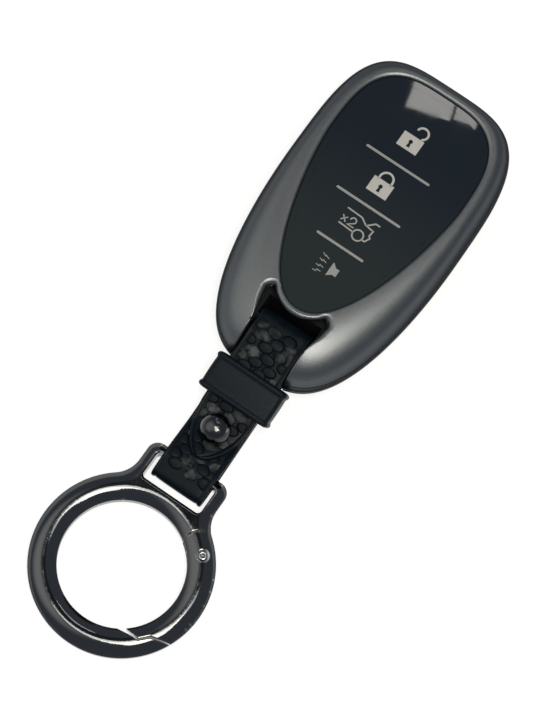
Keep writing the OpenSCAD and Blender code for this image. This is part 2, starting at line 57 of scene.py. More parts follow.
# An egg outline: half width, length above and below the widest place, its y, and its powers
CASE_EGG = (CASE_W / 2, CASE_L / 2 - CASE_WIDE_Y, CASE_L / 2 + CASE_WIDE_Y, CASE_WIDE_Y, (4, 3.5), (3.2, 2.1))
PANEL_EGG = (PANEL_HALF, PANEL_TOP - PANEL_WIDE_Y, PANEL_WIDE_Y - PANEL_TIP, PANEL_WIDE_Y, (3.3, 3.1),
             (2.08, 1.44))

# Strap, pin and notch
STRAP_W, FACE_T, LINING_T, LAYER_GAP = 13.2, 0.8, 0.5, 0.08
STRAP_T = FACE_T + LINING_T
PIN_Y, PIN_Z, PIN_R, LOOP_R = -29.4, 9.5, 1.5, 1.75
NOTCH_HALF, NOTCH_FLARE, NOTCH_TOP, NOTCH_ROUND, NOTCH_RIM, NOTCH_FOOT = 7.0, 1.0, -23.3, 1.4, 1.8, 6.72
GROOVE, GROOVE_LOW, GROOVE_HIGH = 0.16, 10.2, 10.58
LUG_W, LUG_TOP, LUG_Y, LUG_INSET = 18.0, 12.3, -22.3, 1.7
STUD_Y, STUD_R, STUD_SEAT = PIN_Y - 26.3, 3.5, 0.47
KEEPER_L, KEEPER_PLAY, KEEPER_T, KEEPER_SIDE_T, KEEPER_TILT = 9, 1.0, 1.4, 1.8, 15.2

# Ring, bail and gate
RING_R, RING_BAR, RING_Z = 14.2, 6.4, 2.6
RING_OUT = RING_R + RING_BAR
BAIL_Y = PIN_Y - 35.8
BAIL_REACH, BAIL_TOP = 7.8, 1.1
RING_Y = BAIL_Y - BAIL_REACH - RING_R - 0.66 * RING_BAR
PIVOT = np.array([0.66, 0.549]) * RING_OUT
PIVOT_PLACE = (PIVOT[0], RING_Y + PIVOT[1], RING_Z)
KNUCKLE_R, RUN, TONGUE_HALF = 0.27 * RING_OUT, 0.15, 0.9


def link(obj):
    scene.collection.objects.link(obj)
    return obj


def from_bmesh(name, bm):
    """An object with the mesh that a bmesh holds."""
    mesh = bpy.data.meshes.new(name)
    bm.to_mesh(mesh)
    bm.free()
    return link(bpy.data.objects.new(name, mesh))


def evaluated_mesh(obj):
    """A plain mesh of an object, as its modifiers or its curve make it."""
    bpy.context.view_layer.update()
    return bpy.data.meshes.new_from_object(obj.evaluated_get(bpy.context.evaluated_depsgraph_get()))


def mesh_piece(name, points, faces, smooth=True):
    """A mesh object from points in millimetres."""
    mesh = bpy.data.meshes.new(name)
    mesh.from_pydata([tuple(float(c) * MM for c in p) for p in points], [], faces)
    mesh.polygons.foreach_set("use_smooth", [smooth] * len(mesh.polygons))
    mesh.update()
    return link(bpy.data.objects.new(name, mesh))


def finish_mesh(obj, angle=35):
    """Merges doubles, turns the faces outwards and marks the edges that stay sharp."""
    bm = bmesh.new()
    bm.from_mesh(obj.data)
    bmesh.ops.remove_doubles(bm, verts=bm.verts, dist=0.002 * MM)
    bmesh.ops.recalc_face_normals(bm, faces=bm.faces)
    for edge in bm.edges:
        edge.smooth = len(edge.link_faces) != 2 or edge.calc_face_angle(0) < math.radians(angle)
    bm.to_mesh(obj.data)
    bm.free()
    obj.data.update()
    return obj


def boolean(obj, other, operation="DIFFERENCE"):
    """Applies a boolean to obj and removes the other object."""
    mod = obj.modifiers.new("cut", "BOOLEAN")
    mod.operation, mod.solver, mod.object = operation, "EXACT", other
    result = evaluated_mesh(obj)
    obj.modifiers.clear()
    obj.data = result
    bpy.data.objects.remove(other)


def joined(name, parts):
    """One object from several, without any operator."""
    bm = bmesh.new()
    for part in parts:
        bm.from_mesh(part.data)
        bpy.data.objects.remove(part)
    return from_bmesh(name, bm)


def box_piece(name, low, high):
    (x0, y0, z0), (x1, y1, z1) = low, high
    points = [(x, y, z) for z in (z0, z1) for y in (y0, y1) for x in (x0, x1)]
    faces = [(0, 2, 3, 1), (4, 5, 7, 6), (0, 1, 5, 4), (1, 3, 7, 5), (3, 2, 6, 7), (2, 0, 4, 6)]
    return mesh_piece(name, points, faces, smooth=False)


def skin_faces(n, count, closed=False):
    """Quads between count rings of n points each."""
    return [(k * n + i, k * n + (i + 1) % n, (k + 1) % count * n + (i + 1) % n, (k + 1) % count * n + i)
            for k in range(count if closed else count - 1) for i in range(n)]


def loft_piece(name, rings, closed=False, smooth=True):
    """A skin through rings of points that all have the same count, capped unless it is closed."""
    n, count = len(rings[0]), len(rings)
    faces = skin_faces(n, count, closed)
    if not closed:
        faces += [tuple(range(n - 1, -1, -1)), tuple((count - 1) * n + i for i in range(n))]
    return mesh_piece(name, np.vstack([np.asarray(r, float) for r in rings]), faces, smooth)


def prism_piece(name, outline, z_low, z_high):
    """A straight prism over an outline drawn counterclockwise."""
    return loft_piece(name, [[(x, y, z) for x, y in outline] for z in (z_low, z_high)], smooth=False)


def turned(profile, centre, segments):
    """Rings about a vertical axis through centre, from pairs of radius and height."""
    turns = [2 * math.pi * k / segments for k in range(segments)]
    return [[(centre[0] + r * math.cos(t), centre[1] + r * math.sin(t), centre[2] + z) for t in turns]
            for r, z in profile]


def rod_rings(y, z, pairs, segments):
    """Rings about an axis along x at y and z, from pairs of x and radius."""
    turns = np.linspace(0, 2 * np.pi, segments, endpoint=False)
    return [[(x, y + r * math.cos(t), z + r * math.sin(t)) for t in turns] for x, r in pairs]


def signed_power(value, power):
    return np.sign(value) * np.abs(value) ** power


def egg_xy(egg, inset, turn):
    """Points of an egg outline at the given turns, each half a superellipse."""
    half, head, tail, wide_y, upper, lower = egg
    up = np.sin(turn) >= 0
    x = (half - inset) * signed_power(np.cos(turn), np.where(up, 2 / upper[0], 2 / lower[0]))
    y = wide_y + np.where(up, head - inset, tail - inset) * signed_power(
        np.sin(turn), np.where(up, 2 / upper[1], 2 / lower[1]))
    return np.stack([x, y], 1)


def even_turns(count):
    """Turns at which both outlines together are stepped evenly."""
    fine = np.linspace(0, 2 * np.pi, 20001)
    step = sum(np.linalg.norm(np.diff(egg_xy(e, 0, fine), axis=0), axis=1) for e in (CASE_EGG, PANEL_EGG))
    run = np.concatenate([[0], np.cumsum(step)])
    return np.interp(np.arange(count) * run[-1] / count, run, fine)


TURNS = even_turns(AROUND)


def level_ring(xy, z):
    return np.column_stack([xy, np.full(len(xy), z)])


def egg_rings(egg, pairs):
    """Level rings of an egg outline, from pairs of inset and height."""
    return [level_ring(egg_xy(egg, inset, TURNS), z) for inset, z in pairs]


def dome(inset, z_low, z_high, grow, low_a=0.0, high_a=90.0, count=40):
    """Rings of the dome from the case's outline onto the panel's opening."""
    rings = []
    for a in np.radians(np.linspace(low_a, high_a, count + 1)):
        share = 1 - max(math.cos(a), 0) ** DOME_POWER
        xy = egg_xy(CASE_EGG, inset, TURNS) * (1 - share) + egg_xy(PANEL_EGG, -grow, TURNS) * share
        rings.append(level_ring(xy, z_low + (z_high - z_low) * math.sin(a) ** DOME_POWER))
    return rings


def bowl(inset, z_floor, z_rim, r, count=14):
    """Rings of the bowl from a flat floor up to the case's outline."""
    return egg_rings(CASE_EGG, [(inset + r * (1 - math.cos(a)), z_rim + (z_floor - z_rim) * math.sin(a))
                                for a in np.linspace(math.pi / 2, 0, count + 1)])


def egg_half_width(egg, inset, y):
    """Half the width of an egg outline at a height y."""
    half, head, tail, wide_y, upper, lower = egg
    powers, reach = (upper, head - inset) if y >= wide_y else (lower, tail - inset)
    sine = min(abs(y - wide_y) / reach, 1) ** (powers[1] / 2)
    return (half - inset) * max(1 - sine * sine, 0) ** (1 / powers[0])


def smooth_share(value):
    """A smooth step from 0 to 1 as the value goes from 0 to 1."""
    t = min(max(value, 0), 1)
    return t * t * (3 - 2 * t)


# Shader helpers and the effects that several materials share


def plug(tree, made, inputs):
    """Links sockets to a node's inputs and sets the inputs that have plain values."""
    for key, value in inputs.items():
        if isinstance(value, bpy.types.NodeSocket):
            tree.links.new(value, made.inputs[key])
        else:
            made.inputs[key].default_value = value


def node(tree, kind, inputs=None, **settings):
    made = tree.nodes.new(kind)
    for key, value in settings.items():
        setattr(made, key, value)
    plug(tree, made, inputs or {})
    return made


def math_node(tree, operation, *values, clamp=False):
    return node(tree, "ShaderNodeMath", dict(enumerate(values)), operation=operation,
                use_clamp=clamp).outputs[0]


def vector_node(tree, operation, *values, **named):
    return node(tree, "ShaderNodeVectorMath", dict(enumerate(values)) | named, operation=operation).outputs[0]


def ramp(tree, value, low, high, to_low=0.0, to_high=1.0, shape="LINEAR"):
    """Maps a range of values onto another."""
    return node(tree, "ShaderNodeMapRange", {"Value": value, "From Min": low, "From Max": high,
                                             "To Min": to_low, "To Max": to_high},
                interpolation_type=shape).outputs["Result"]


def place_on(tree):
    return node(tree, "ShaderNodeTexCoord").outputs["Object"]


def noise(tree, scale, detail=2.0, rough=0.5):
    """Noise over the object's own coordinates."""
    return node(tree, "ShaderNodeTexNoise", {"Vector": place_on(tree), "Scale": scale, "Detail": detail,
                                             "Roughness": rough}).outputs["Fac"]


def two_tones(tree, factor, low, high):
    """A mix of two colours, each three numbers or a socket."""
    ends = {key: (*value, 1) if isinstance(value, tuple) else value
            for key, value in (("A", low), ("B", high))}
    return node(tree, "ShaderNodeMix", {"Factor": factor} | ends, data_type="RGBA").outputs["Result"]


def new_group(name, inputs, outputs, kind="ShaderNodeTree"):
    """A node group from triples of label, kind and value, and pairs of label and kind."""
    tree = bpy.data.node_groups.new(name, kind)
    for label, kind, value in inputs:
        socket = tree.interface.new_socket(label, in_out="INPUT", socket_type="NodeSocket" + kind)
        if value is not None:
            socket.default_value = value
    for label, kind in outputs:
        tree.interface.new_socket(label, in_out="OUTPUT", socket_type="NodeSocket" + kind)
    return tree, tree.nodes.new("NodeGroupInput").outputs, tree.nodes.new("NodeGroupOutput")


def build_grain_group():
    """Fine grain of a blasted or moulded surface: a mask and a bumped normal."""
    tree, come, go = new_group(
        "fine_grain", [("Scale", "Float", 5000.0), ("Strength", "Float", 0.2), ("Depth", "Float", 0.00004)],
        [("Grain", "Float"), ("Normal", "Vector")])
    grain = noise(tree, come["Scale"], 3.0, 0.6)
    bump = node(tree, "ShaderNodeBump",
                {"Height": grain, "Strength": come["Strength"], "Distance": come["Depth"]})
    plug(tree, go, {"Grain": grain, "Normal": bump.outputs["Normal"]})
    return tree


def build_smudge_group():
    """Slow patches, as fingers leave on a polished or glossy face."""
    tree, come, go = new_group(
        "smudge", [("Scale", "Float", 150.0), ("Low", "Float", 0.05), ("High", "Float", 0.12)],
        [("Roughness", "Float")])
    patches = ramp(tree, noise(tree, come["Scale"], 6.0, 0.65), 0.35, 0.7, come["Low"], come["High"])
    plug(tree, go, {"Roughness": patches})
    return tree


def build_edge_mask_group():
    """A mask that is 1 where the surface turns a corner, broken up by noise."""
    tree, come, go = new_group(
        "edge_mask", [("Amount", "Float", 1.0), ("Scale", "Float", 900.0)], [("Mask", "Float")])
    corner = ramp(tree, node(tree, "ShaderNodeNewGeometry").outputs["Pointiness"], 0.52, 0.62)
    broken = math_node(tree, "MULTIPLY", corner, noise(tree, come["Scale"], 4.0))
    plug(tree, go, {"Mask": math_node(tree, "MULTIPLY", broken, come["Amount"], clamp=True)})
    return tree


GRAIN, SMUDGE, EDGE_MASK = build_grain_group(), build_smudge_group(), build_edge_mask_group()


def new_material(name):
    material = bpy.data.materials.new(name)
    material.use_nodes = True
    return material, material.node_tree, material.node_tree.nodes["Principled BSDF"]


def grouped(tree, group, **values):
    return node(tree, "ShaderNodeGroup", values, node_tree=group).outputs


def grain_of(tree, scale, strength, depth):
    """The grain group's mask and normal."""
    made = grouped(tree, GRAIN, Scale=scale, Strength=strength, Depth=depth)
    return made["Grain"], made["Normal"]


def satin_shell_material(name="satin_shell", level=1.0, rim=0.2):
    """Blasted metal: a fine grain, slightly paler corners and a dark edge tint."""
    material, tree, shader = new_material(name)
    grain, normal = grain_of(tree, 3100.0, 0.65, 0.00004)
    tone = two_tones(tree, grain, (0.073 * level, 0.079 * level, 0.085 * level),
                     (0.124 * level, 0.13 * level, 0.136 * level))
    paler_corners = two_tones(tree, grouped(tree, EDGE_MASK, Amount=0.12, Scale=1500.0)["Mask"], tone, (0.22, 0.22, 0.215))
    plug(tree, shader, {"Base Color": paler_corners, "Roughness": ramp(tree, grain, 0.0, 1.0, 0.33, 0.43),
                        "Normal": normal, "Metallic": 1.0, "Specular Tint": (rim, rim, rim, 1)})
    return material


def gloss_panel_material():
    """Gloss plastic with faint dust, and a painted reflection: darker and bluer towards the case's top end,
    paler grey towards its foot.
    """
    material, tree, shader = new_material("gloss_panel")
    y = node(tree, "ShaderNodeSeparateXYZ", {"Vector": place_on(tree)}).outputs["Y"]
    # Painted reflection: this gradient along y stands in for the dark and pale surroundings that the panel
    # mirrors.
    depth = two_tones(tree, ramp(tree, y, -0.012, 0.022, shape="SMOOTHSTEP"), (0.0125, 0.0165, 0.0175),
                      (0.0062, 0.0092, 0.0135))
    specks = ramp(tree, noise(tree, 2600.0, 5.0), 0.74, 0.82)
    plug(tree, shader, {"Base Color": two_tones(tree, specks, depth, (0.05, 0.052, 0.055)), "IOR": 1.36,
                        "Roughness": grouped(tree, SMUDGE, Scale=260.0, Low=0.01, High=0.035)["Roughness"]})
    return material


def grained_material(name, low, high, grain, rough, **more):
    """A dull surface whose colour and normal follow the grain alone."""
    material, tree, shader = new_material(name)
    mask, normal = grain_of(tree, *grain)
    plug(tree, shader,
         {"Base Color": two_tones(tree, mask, low, high), "Normal": normal, "Roughness": rough} | more)
    return material


def print_material(name, low, high):
    return grained_material(name, low, high, (3800.0, 0.15, 0.00002), 0.5)


def soft_lining_material(name, low, high):
    return grained_material(name, low, high, (2500.0, 0.3, 0.00005), 0.75, **{"Specular IOR Level": 0.15})


def strap_leather_material():
    """Dark leather between the scales."""
    material, tree, shader = new_material("strap_leather")
    tone = two_tones(tree, noise(tree, 420.0, 4.0), (0.0004, 0.0018, 0.0038), (0.0036, 0.0064, 0.009))
    plug(tree, shader, {"Base Color": tone, "Normal": grain_of(tree, 4500.0, 0.3, 0.00004)[1],
                        "Roughness": 0.38, "Specular IOR Level": 0.07})
    return material


def scale_material():
    """Embossed scales: a few carry a painted, speckled sheen in their colour and the rest stay dark."""
    material, tree, shader = new_material("scale_leather")
    lit = ramp(tree, node(tree, "ShaderNodeAttribute", attribute_name="lit").outputs["Fac"], 0.6, 0.98, 0.02)
    patch = ramp(tree, noise(tree, 640.0), 0.35, 0.65)
    shade = math_node(tree, "MULTIPLY", lit, math_node(tree, "MULTIPLY", noise(tree, 5200.0, 3.0), patch))
    tone = two_tones(tree, math_node(tree, "MULTIPLY", shade, 1.7, clamp=True), (0.0006, 0.0022, 0.004),
                     (0.06, 0.066, 0.066))
    plug(tree, shader, {"Base Color": tone, "Normal": grain_of(tree, 4500.0, 0.4, 0.00005)[1],
                        "Roughness": 0.46, "Specular IOR Level": 0.07})
    return material


def plain_leather_material():
    """Smooth leather with fine pores."""
    material, tree, shader = new_material("plain_leather")
    pores = node(tree, "ShaderNodeTexVoronoi", {"Vector": place_on(tree), "Scale": 1900.0},
                 feature="DISTANCE_TO_EDGE")
    folds = ramp(tree, pores.outputs["Distance"], 0.0, 0.12)
    grain, normal = grain_of(tree, 3000.0, 0.25, 0.00003)
    bump = node(tree, "ShaderNodeBump",
                {"Height": folds, "Strength": 0.3, "Distance": 0.00003, "Normal": normal})
    plug(tree, shader, {
        "Base Color": two_tones(tree, folds, (0.0012, 0.0028, 0.0052), (0.0032, 0.0058, 0.0088)),
        "Normal": bump.outputs["Normal"], "Roughness": ramp(tree, grain, 0.0, 1.0, 0.36, 0.5),
        "Specular IOR Level": 0.07})
    return material


def black_nickel_material(name="black_nickel", low=0.05, high=0.12, tone=0.07, peel=0.12):
    """Dark polished plating with a painted highlight in pale warm colour on its edges, and a slight orange
    peel.
    """
    material, tree, shader = new_material(name)
    edge_highlight = grouped(tree, EDGE_MASK, Amount=1.0, Scale=1800.0)["Mask"]
    plug(tree, shader, {
        # Painted highlight: the edge mask lightens the colour where the metal turns a corner.
        "Base Color": two_tones(tree, edge_highlight, (0.96 * tone, tone, 1.06 * tone), (0.34, 0.32, 0.28)),
        "Roughness": grouped(tree, SMUDGE, Scale=420.0, Low=low, High=high)["Roughness"], "Metallic": 1.0,
        "Normal": grain_of(tree, 900.0, peel, 0.0001)[1]})
    return material


def spring_material():
    material, tree, shader = new_material("spring_wire")
    plug(tree, shader, {"Roughness": grouped(tree, SMUDGE, Scale=900.0, Low=0.18, High=0.32)["Roughness"],
                        "Base Color": (0.55, 0.55, 0.56, 1), "Metallic": 1.0})
    return material


SATIN_SHELL, BACK_SATIN = satin_shell_material(), satin_shell_material("satin_back", 0.85, 0.4)
SIGN_PRINT = print_material("sign_print", (0.2, 0.2, 0.19), (0.285, 0.28, 0.262))
FAINT_PRINT = print_material("faint_print", (0.11, 0.112, 0.11), (0.17, 0.17, 0.165))
DIM_PRINT = print_material("dim_print", (0.14, 0.142, 0.138), (0.21, 0.208, 0.2))
GLOSS_PANEL, SPRING_WIRE = gloss_panel_material(), spring_material()
STRAP_LEATHER, SCALE_LEATHER = strap_leather_material(), scale_material()
PLAIN_LEATHER = plain_leather_material()
SOFT_LINING = soft_lining_material("soft_lining", (0.018, 0.019, 0.02), (0.035, 0.036, 0.038))
# This near-black lining is the seam gasket's own colour, and is also laid on shell faces as painted shade.
DARK_LINING_AND_SHADE = soft_lining_material("dark_lining_and_painted_shade", (0.0015, 0.002, 0.003), (0.004, 0.005, 0.0065))
BLACK_NICKEL = black_nickel_material()
STUD_NICKEL = black_nickel_material("stud_nickel", 0.12, 0.24, 0.05, 0.5)
# The rivet's nickel is a much paler copy of the ring's: a painted highlight for the bright rings on its
# rolled heads.
RIVET_NICKEL = black_nickel_material("rivet_nickel", 0.08, 0.14, 0.3)


def dress(obj, material, body, slot, *replaced):
    """Gives a finished piece its material and its body, and hides the nodes that it stands for. The slot is
    not used.
    """
    obj.data.materials.clear()
    obj.data.materials.append(material)
    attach(obj, body)
    if replaced:
        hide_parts(*replaced)


def paint_shade_faces(obj, chosen):
    """Paints shade: gives the faces whose middle is chosen, in millimetres, the near-black lining material as
    painted shade.
    """
    obj.data.materials.append(DARK_LINING_AND_SHADE)
    for face in obj.data.polygons:
        if chosen(*(face.center / MM)):
            face.material_index = 1


# Front shell


def roll_width(point):
    """How wide the notch's edge rolls over: wide at its corners, narrow under the panel and at its feet."""
    wide = 0.8 + 0.75 * smooth_share((abs(point[0]) - 5.2) / 2.4)
    return wide + (0.45 - wide) * smooth_share((-26.5 - point[1]) / 5.5)


def notch_path(grow=False):
    """The notch from its left foot round to its right foot: pairs of place and direction into the metal."""
    corner, corner_y = NOTCH_HALF + NOTCH_FLARE - NOTCH_ROUND, NOTCH_TOP - NOTCH_ROUND
    foot, shoulder = np.array([NOTCH_FOOT, PIN_Y - 2 * PIN_R]), np.array([NOTCH_HALF + NOTCH_FLARE, corner_y])
    side = (shoulder - foot) / np.linalg.norm(shoulder - foot)
    out = np.array([side[1], -side[0]])
    path = [(foot + (shoulder - foot) * t, out) for t in np.linspace(0, 1, 24, endpoint=False)]
    for a in np.radians(np.linspace(math.degrees(math.atan2(out[1], out[0])), 90, 14)):
        way = np.array([math.cos(a), math.sin(a)])
        path.append((np.array([corner, corner_y]) + NOTCH_ROUND * way, way))
    tip = egg_xy(PANEL_EGG, -NOTCH_RIM, np.linspace(1.5 * np.pi + 0.6, 1.5 * np.pi, 60))
    for point, way in zip(tip, np.gradient(tip, axis=0)):
        if point[1] < NOTCH_TOP - 0.02 and point[0] < corner:
            inward = np.array([way[1], -way[0]]) / np.linalg.norm(way)
            path.append((point, inward * np.sign(inward[1])))
    right = [(p + roll_width(p) * w if grow else p, w) for p, w in path]
    return [(np.array([-p[0], p[1]]), np.array([-w[0], w[1]])) for p, w in right] + right[-2::-1]


def front_outside(grooved):
    """The front shell's outside, from its seam over the ridge to the panel, with or without its groove."""
    rings = egg_rings(CASE_EGG, [(inset, SEAM_Z + h) for inset, h in SOFT_EDGE])
    spans = [(0, 3.5, 86.5, 46)]
    if grooved:
        spans = [(0, 3.5, 10.1, 4), (GROOVE, 10.3, 12.0, 1), (0, 12.2, 86.5, 44)]
    for inset, low_a, high_a, count in spans:
        rings += dome(inset, SEAM_Z, CASE_H, LIP_W, low_a, high_a, count)
    lip = [(-LIP_W * (1 - math.sin(a)), PANEL_Z + (CASE_H - PANEL_Z) * math.cos(a))
           for a in np.radians(np.linspace(0, 86, 12))]
    return rings + egg_rings(PANEL_EGG, lip + [(0, PANEL_Z - 0.08)])


def mirrored(v):
    return Vector((-v.x, v.y, v.z))


def notch_edge(surface):
    """The rounded edge of the notch, laid on the shell's own surface."""
    path, walls, places = notch_path(), [], []
    for z in np.linspace(SEAM_Z, 16.4, 40):
        hit, normal, _, _ = surface.ray_cast(Vector((-NOTCH_FOOT, -BEYOND, z)), Vector((0, 1, 0)))
        if hit is not None and hit.y < path[0][0][1]:
            walls.append((hit, normal, Vector((-1, 0, 0))))
    for p, w in path:
        hit, normal, _, _ = surface.ray_cast(Vector((p[0], p[1], BEYOND)), Vector((0, 0, -1)))
        places.append((hit, normal, Vector((w[0], w[1], 0))))
    places = walls + places + [tuple(mirrored(v) for v in wall) for wall in reversed(walls)]
    profile, points = np.radians(np.linspace(0, 90, 9)), []
    for hit, normal, way in places:
        width = roll_width(hit)
        along = (way - way.dot(normal) * normal).normalized()
        down = (-normal + normal.dot(way) * way).normalized()
        points.append(hit + along * width * 1.02 - normal * 0.01)
        points += [hit + along * width * (1 - math.sin(t)) + down * width * (1 - math.cos(t))
                   for t in profile]
        points.append(hit + down * (SHELL_T + 0.05))
    for p in points:
        p.z = min(p.z, CASE_H)
    n = len(profile) + 2
    faces = [(k * n + i, k * n + i + 1, (k + 1) * n + i + 1, (k + 1) * n + i)
             for k in range(len(places) - 1) for i in range(n - 1)]
    return mesh_piece("notch_edge", points, faces)


def front_shell():
    outside = front_outside(grooved=False)
    surface = BVHTree.FromPolygons([tuple(p) for p in np.vstack(outside)], skin_faces(AROUND, len(outside)))
    rings = front_outside(grooved=True) + egg_rings(PANEL_EGG, [(0, CASE_H - SHELL_T)])
    rings += dome(SHELL_T, SEAM_Z, CASE_H - SHELL_T, FLANGE_ROOM, count=24)[::-1]
    shell = finish_mesh(loft_piece("front_shell_skin", rings, closed=True), 30)
    cut = [tuple(p) for p, _ in notch_path(grow=True)]
    foot = NOTCH_FOOT + roll_width(cut[0])
    outline = [(-foot, -70)] + cut + [(foot, -70)]
    boolean(shell, prism_piece("notch_cut", outline[::-1], 0, 30))
    edge = notch_edge(surface)
    if sum(face.normal.z for face in edge.data.polygons) < 0:
        edge.data.flip_normals()
    skin = joined("front_shell_skin", [shell, edge])
    dress(skin, SATIN_SHELL, "front", "shell_metal", "front_shell")
    # Painted shade: the groove's faces get the near-black lining colour, a dark line for the shade that the
    # groove holds.
    paint_shade_faces(skin, lambda x, y, z: GROOVE_LOW < z < GROOVE_HIGH)


# Back shell, soft parts and key panel


def lug_room(room):
    return box_piece("lug_room", (-LUG_W / 2 - room, -BEYOND, -1), (LUG_W / 2 + room, LUG_Y + room, BEYOND))


def channel_cut():
    """What the strap's channel takes out of the back shell."""
    low_a, low_dir = strap_corners()["low_a"], strap_corners()["low_dir"]
    sill_w, drop, back_y = 3.15, 2.2, NOTCH_TOP - NOTCH_FLARE
    sill_y = sill_w - CASE_L / 2
    sill_z = low_a[1] - STRAP_T - 0.5 + (sill_y - low_a[0]) * low_dir[1] / low_dir[0]
    side = [(back_y, SHELL_T), (sill_y, SHELL_T), (sill_y, sill_z), (sill_y - 0.4, sill_z),
            (sill_y - sill_w / 2, sill_z - drop), (-BEYOND, sill_z - drop), (-BEYOND, BEYOND),
            (back_y, BEYOND)]
    rings = [[(x, y, z) for y, z in side] for x in (-NOTCH_HALF, NOTCH_HALF)]
    return finish_mesh(loft_piece("channel_cut", rings, smooth=False))


def back_shell():
    outside = bowl(0, 0, BACK_H, BACK_ROUND)[:-1]
    outside += egg_rings(CASE_EGG, [(inset, BACK_H - h) for inset, h in SOFT_EDGE[::-1]])
    inside = bowl(SHELL_T, SHELL_T, BACK_H, BACK_ROUND - SHELL_T / 2)[::-1]
    shell = finish_mesh(loft_piece("back_shell_skin", outside + inside), 30)
    solid = bowl(0.02, 0.02, BACK_H - 0.1, BACK_ROUND) + egg_rings(CASE_EGG, [(LUG_INSET, BACK_H - 0.1)])
    solid += dome(LUG_INSET, SEAM_Z, CASE_H - LUG_INSET, LIP_W, count=12)
    lugs = finish_mesh(loft_piece("lugs", solid), 30)
    boolean(lugs, box_piece("lug_box", (-LUG_W / 2, -BEYOND, 0), (LUG_W / 2, LUG_Y, LUG_TOP)), "INTERSECT")
    boolean(shell, lugs, "UNION")
    boolean(shell, channel_cut())
    bore = PIN_R + FIT / 2
    boolean(shell,
            finish_mesh(loft_piece("bore_cut", rod_rings(PIN_Y, PIN_Z, ((-12, bore), (12, bore)), 48))))
    dress(finish_mesh(shell, 30), BACK_SATIN, "back", "shell_metal", "back_shell")

    # Painted shade: the ledge at the seam, the lugs above the seam and the strap's channel get the near-black
    # lining colour for the shade that falls there.
    def in_painted_shade(x, y, z):
        within = abs(x) < LUG_W / 2 + FIT and y < LUG_Y + FIT
        channel = abs(x) < NOTCH_HALF + 0.02 and z > SHELL_T / 2 and y > -38.5
        return BACK_H - 0.075 < z < SEAM_Z or within and (z > SEAM_Z or channel)

    paint_shade_faces(shell, in_painted_shade)


def seam_bead():
    top = SEAM_Z - 0.05
    pairs = ((0.42, BACK_H), (0.3, BACK_H + 0.15), (0.3, SEAM_Z - 0.2), (0.42, top), (1.2, top),
             (1.2, BACK_H))
    bead = finish_mesh(loft_piece("seam_bead", egg_rings(CASE_EGG, pairs), closed=True), 50)
    boolean(bead, box_piece("bead_cut", (-NOTCH_HALF, -BEYOND, 0), (NOTCH_HALF, -20, 20)))
    dress(finish_mesh(bead, 50), DARK_LINING_AND_SHADE, "back", "soft_lining", "seam_gasket")


def back_lining():
    inset, r, rise = SHELL_T + FIT, BACK_ROUND - SHELL_T / 2, SEAM_Z + 0.9
    rings = bowl(inset, inset, BACK_H, r)
    rings += egg_rings(CASE_EGG, [(inset + FIT, rise), (inset + 0.2, rise + 0.1),
                                  (inset + LINER_T - 0.1, rise + 0.1),
                                  (inset + LINER_T, rise)])
    rings += bowl(inset + LINER_T, inset + LINER_T, BACK_H, r - LINER_T / 2)[::-1]
    lining = finish_mesh(loft_piece("back_lining", rings), 40)
    boolean(lining, lug_room(FIT))
    dress(finish_mesh(lining, 40), SOFT_LINING, "back", "soft_lining", "back_liner")


def front_lining():
    inset, top, shelf = SHELL_T + FIT, CASE_H - SHELL_T - FIT, CASE_H - SHELL_T - 2 * FIT - FLANGE_T
    rings = dome(inset, SEAM_Z, top, FLANGE_ROOM, count=24)
    rings += egg_rings(PANEL_EGG, [(-FLANGE_ROOM, shelf), (-0.3, shelf)])
    rings += dome(inset + LINER_T, SEAM_Z, shelf - LINER_T, 0.3, count=24)[::-1]
    lining = finish_mesh(loft_piece("front_lining", rings, closed=True), 40)
    boolean(lining, box_piece("low_cut", (-BEYOND, -BEYOND, 0), (BEYOND, BEYOND, SEAM_Z + 1.05)))
    boolean(lining, lug_room(0.3))
    dress(finish_mesh(lining, 40), SOFT_LINING, "front", "soft_lining", "front_liner")


def dish_height(number, y):
    """Height of a key's dished face at y."""
    edges = (PANEL_TOP,) + BAR_Y + (PANEL_TIP,)
    high, low = edges[number], edges[number + 1]
    r = (high - low) ** 2 / (8 * KEY_DISH)
    return PANEL_Z - KEY_DISH + r - math.sqrt(r * r - (y - (high + low) / 2) ** 2)


def key_face(number, rows=40, columns=48):
    """A key: a dished face with a fine rounded edge, and its sides."""
    inset, soft, depth = RIM_W + KEY_GAP, 0.06, 1.5
    edges = (PANEL_TOP,) + BAR_Y + (PANEL_TIP,)
    high = edges[number] - (inset if number == 0 else BAR_W / 2 + KEY_GAP)
    low = edges[number + 1] + (inset if number == len(BAR_Y) else BAR_W / 2 + KEY_GAP)
    bm = bmesh.new()
    grid = []
    for k in range(rows + 1):
        y = low + (high - low) * (1 - math.cos(math.pi * k / rows)) / 2
        half = max(egg_half_width(PANEL_EGG, inset, y), 0.05)
        grid.append([bm.verts.new((half * (2 * j / columns - 1) * MM, y * MM, dish_height(number, y) * MM))
                     for j in range(columns + 1)])
    for one, two in zip(grid, grid[1:]):
        for j in range(columns):
            bm.faces.new((one[j], one[j + 1], two[j + 1], two[j]))
    rim = [e for e in bm.edges if e.is_boundary]
    for drop in (soft, depth):
        made = bmesh.ops.extrude_edge_only(bm, edges=rim)["geom"]
        for v in made:
            if isinstance(v, bmesh.types.BMVert):
                v.co.z -= drop * MM
        rim = [g for g in made if isinstance(g, bmesh.types.BMEdge) and g.is_boundary]
    for face in bm.faces:
        face.smooth = True
    key = finish_mesh(from_bmesh(f"{KEYS[number]}_key_face", bm), 30)
    dress(key, GLOSS_PANEL, f"{KEYS[number]}_key", "gloss_panel", f"{KEYS[number]}_pad")


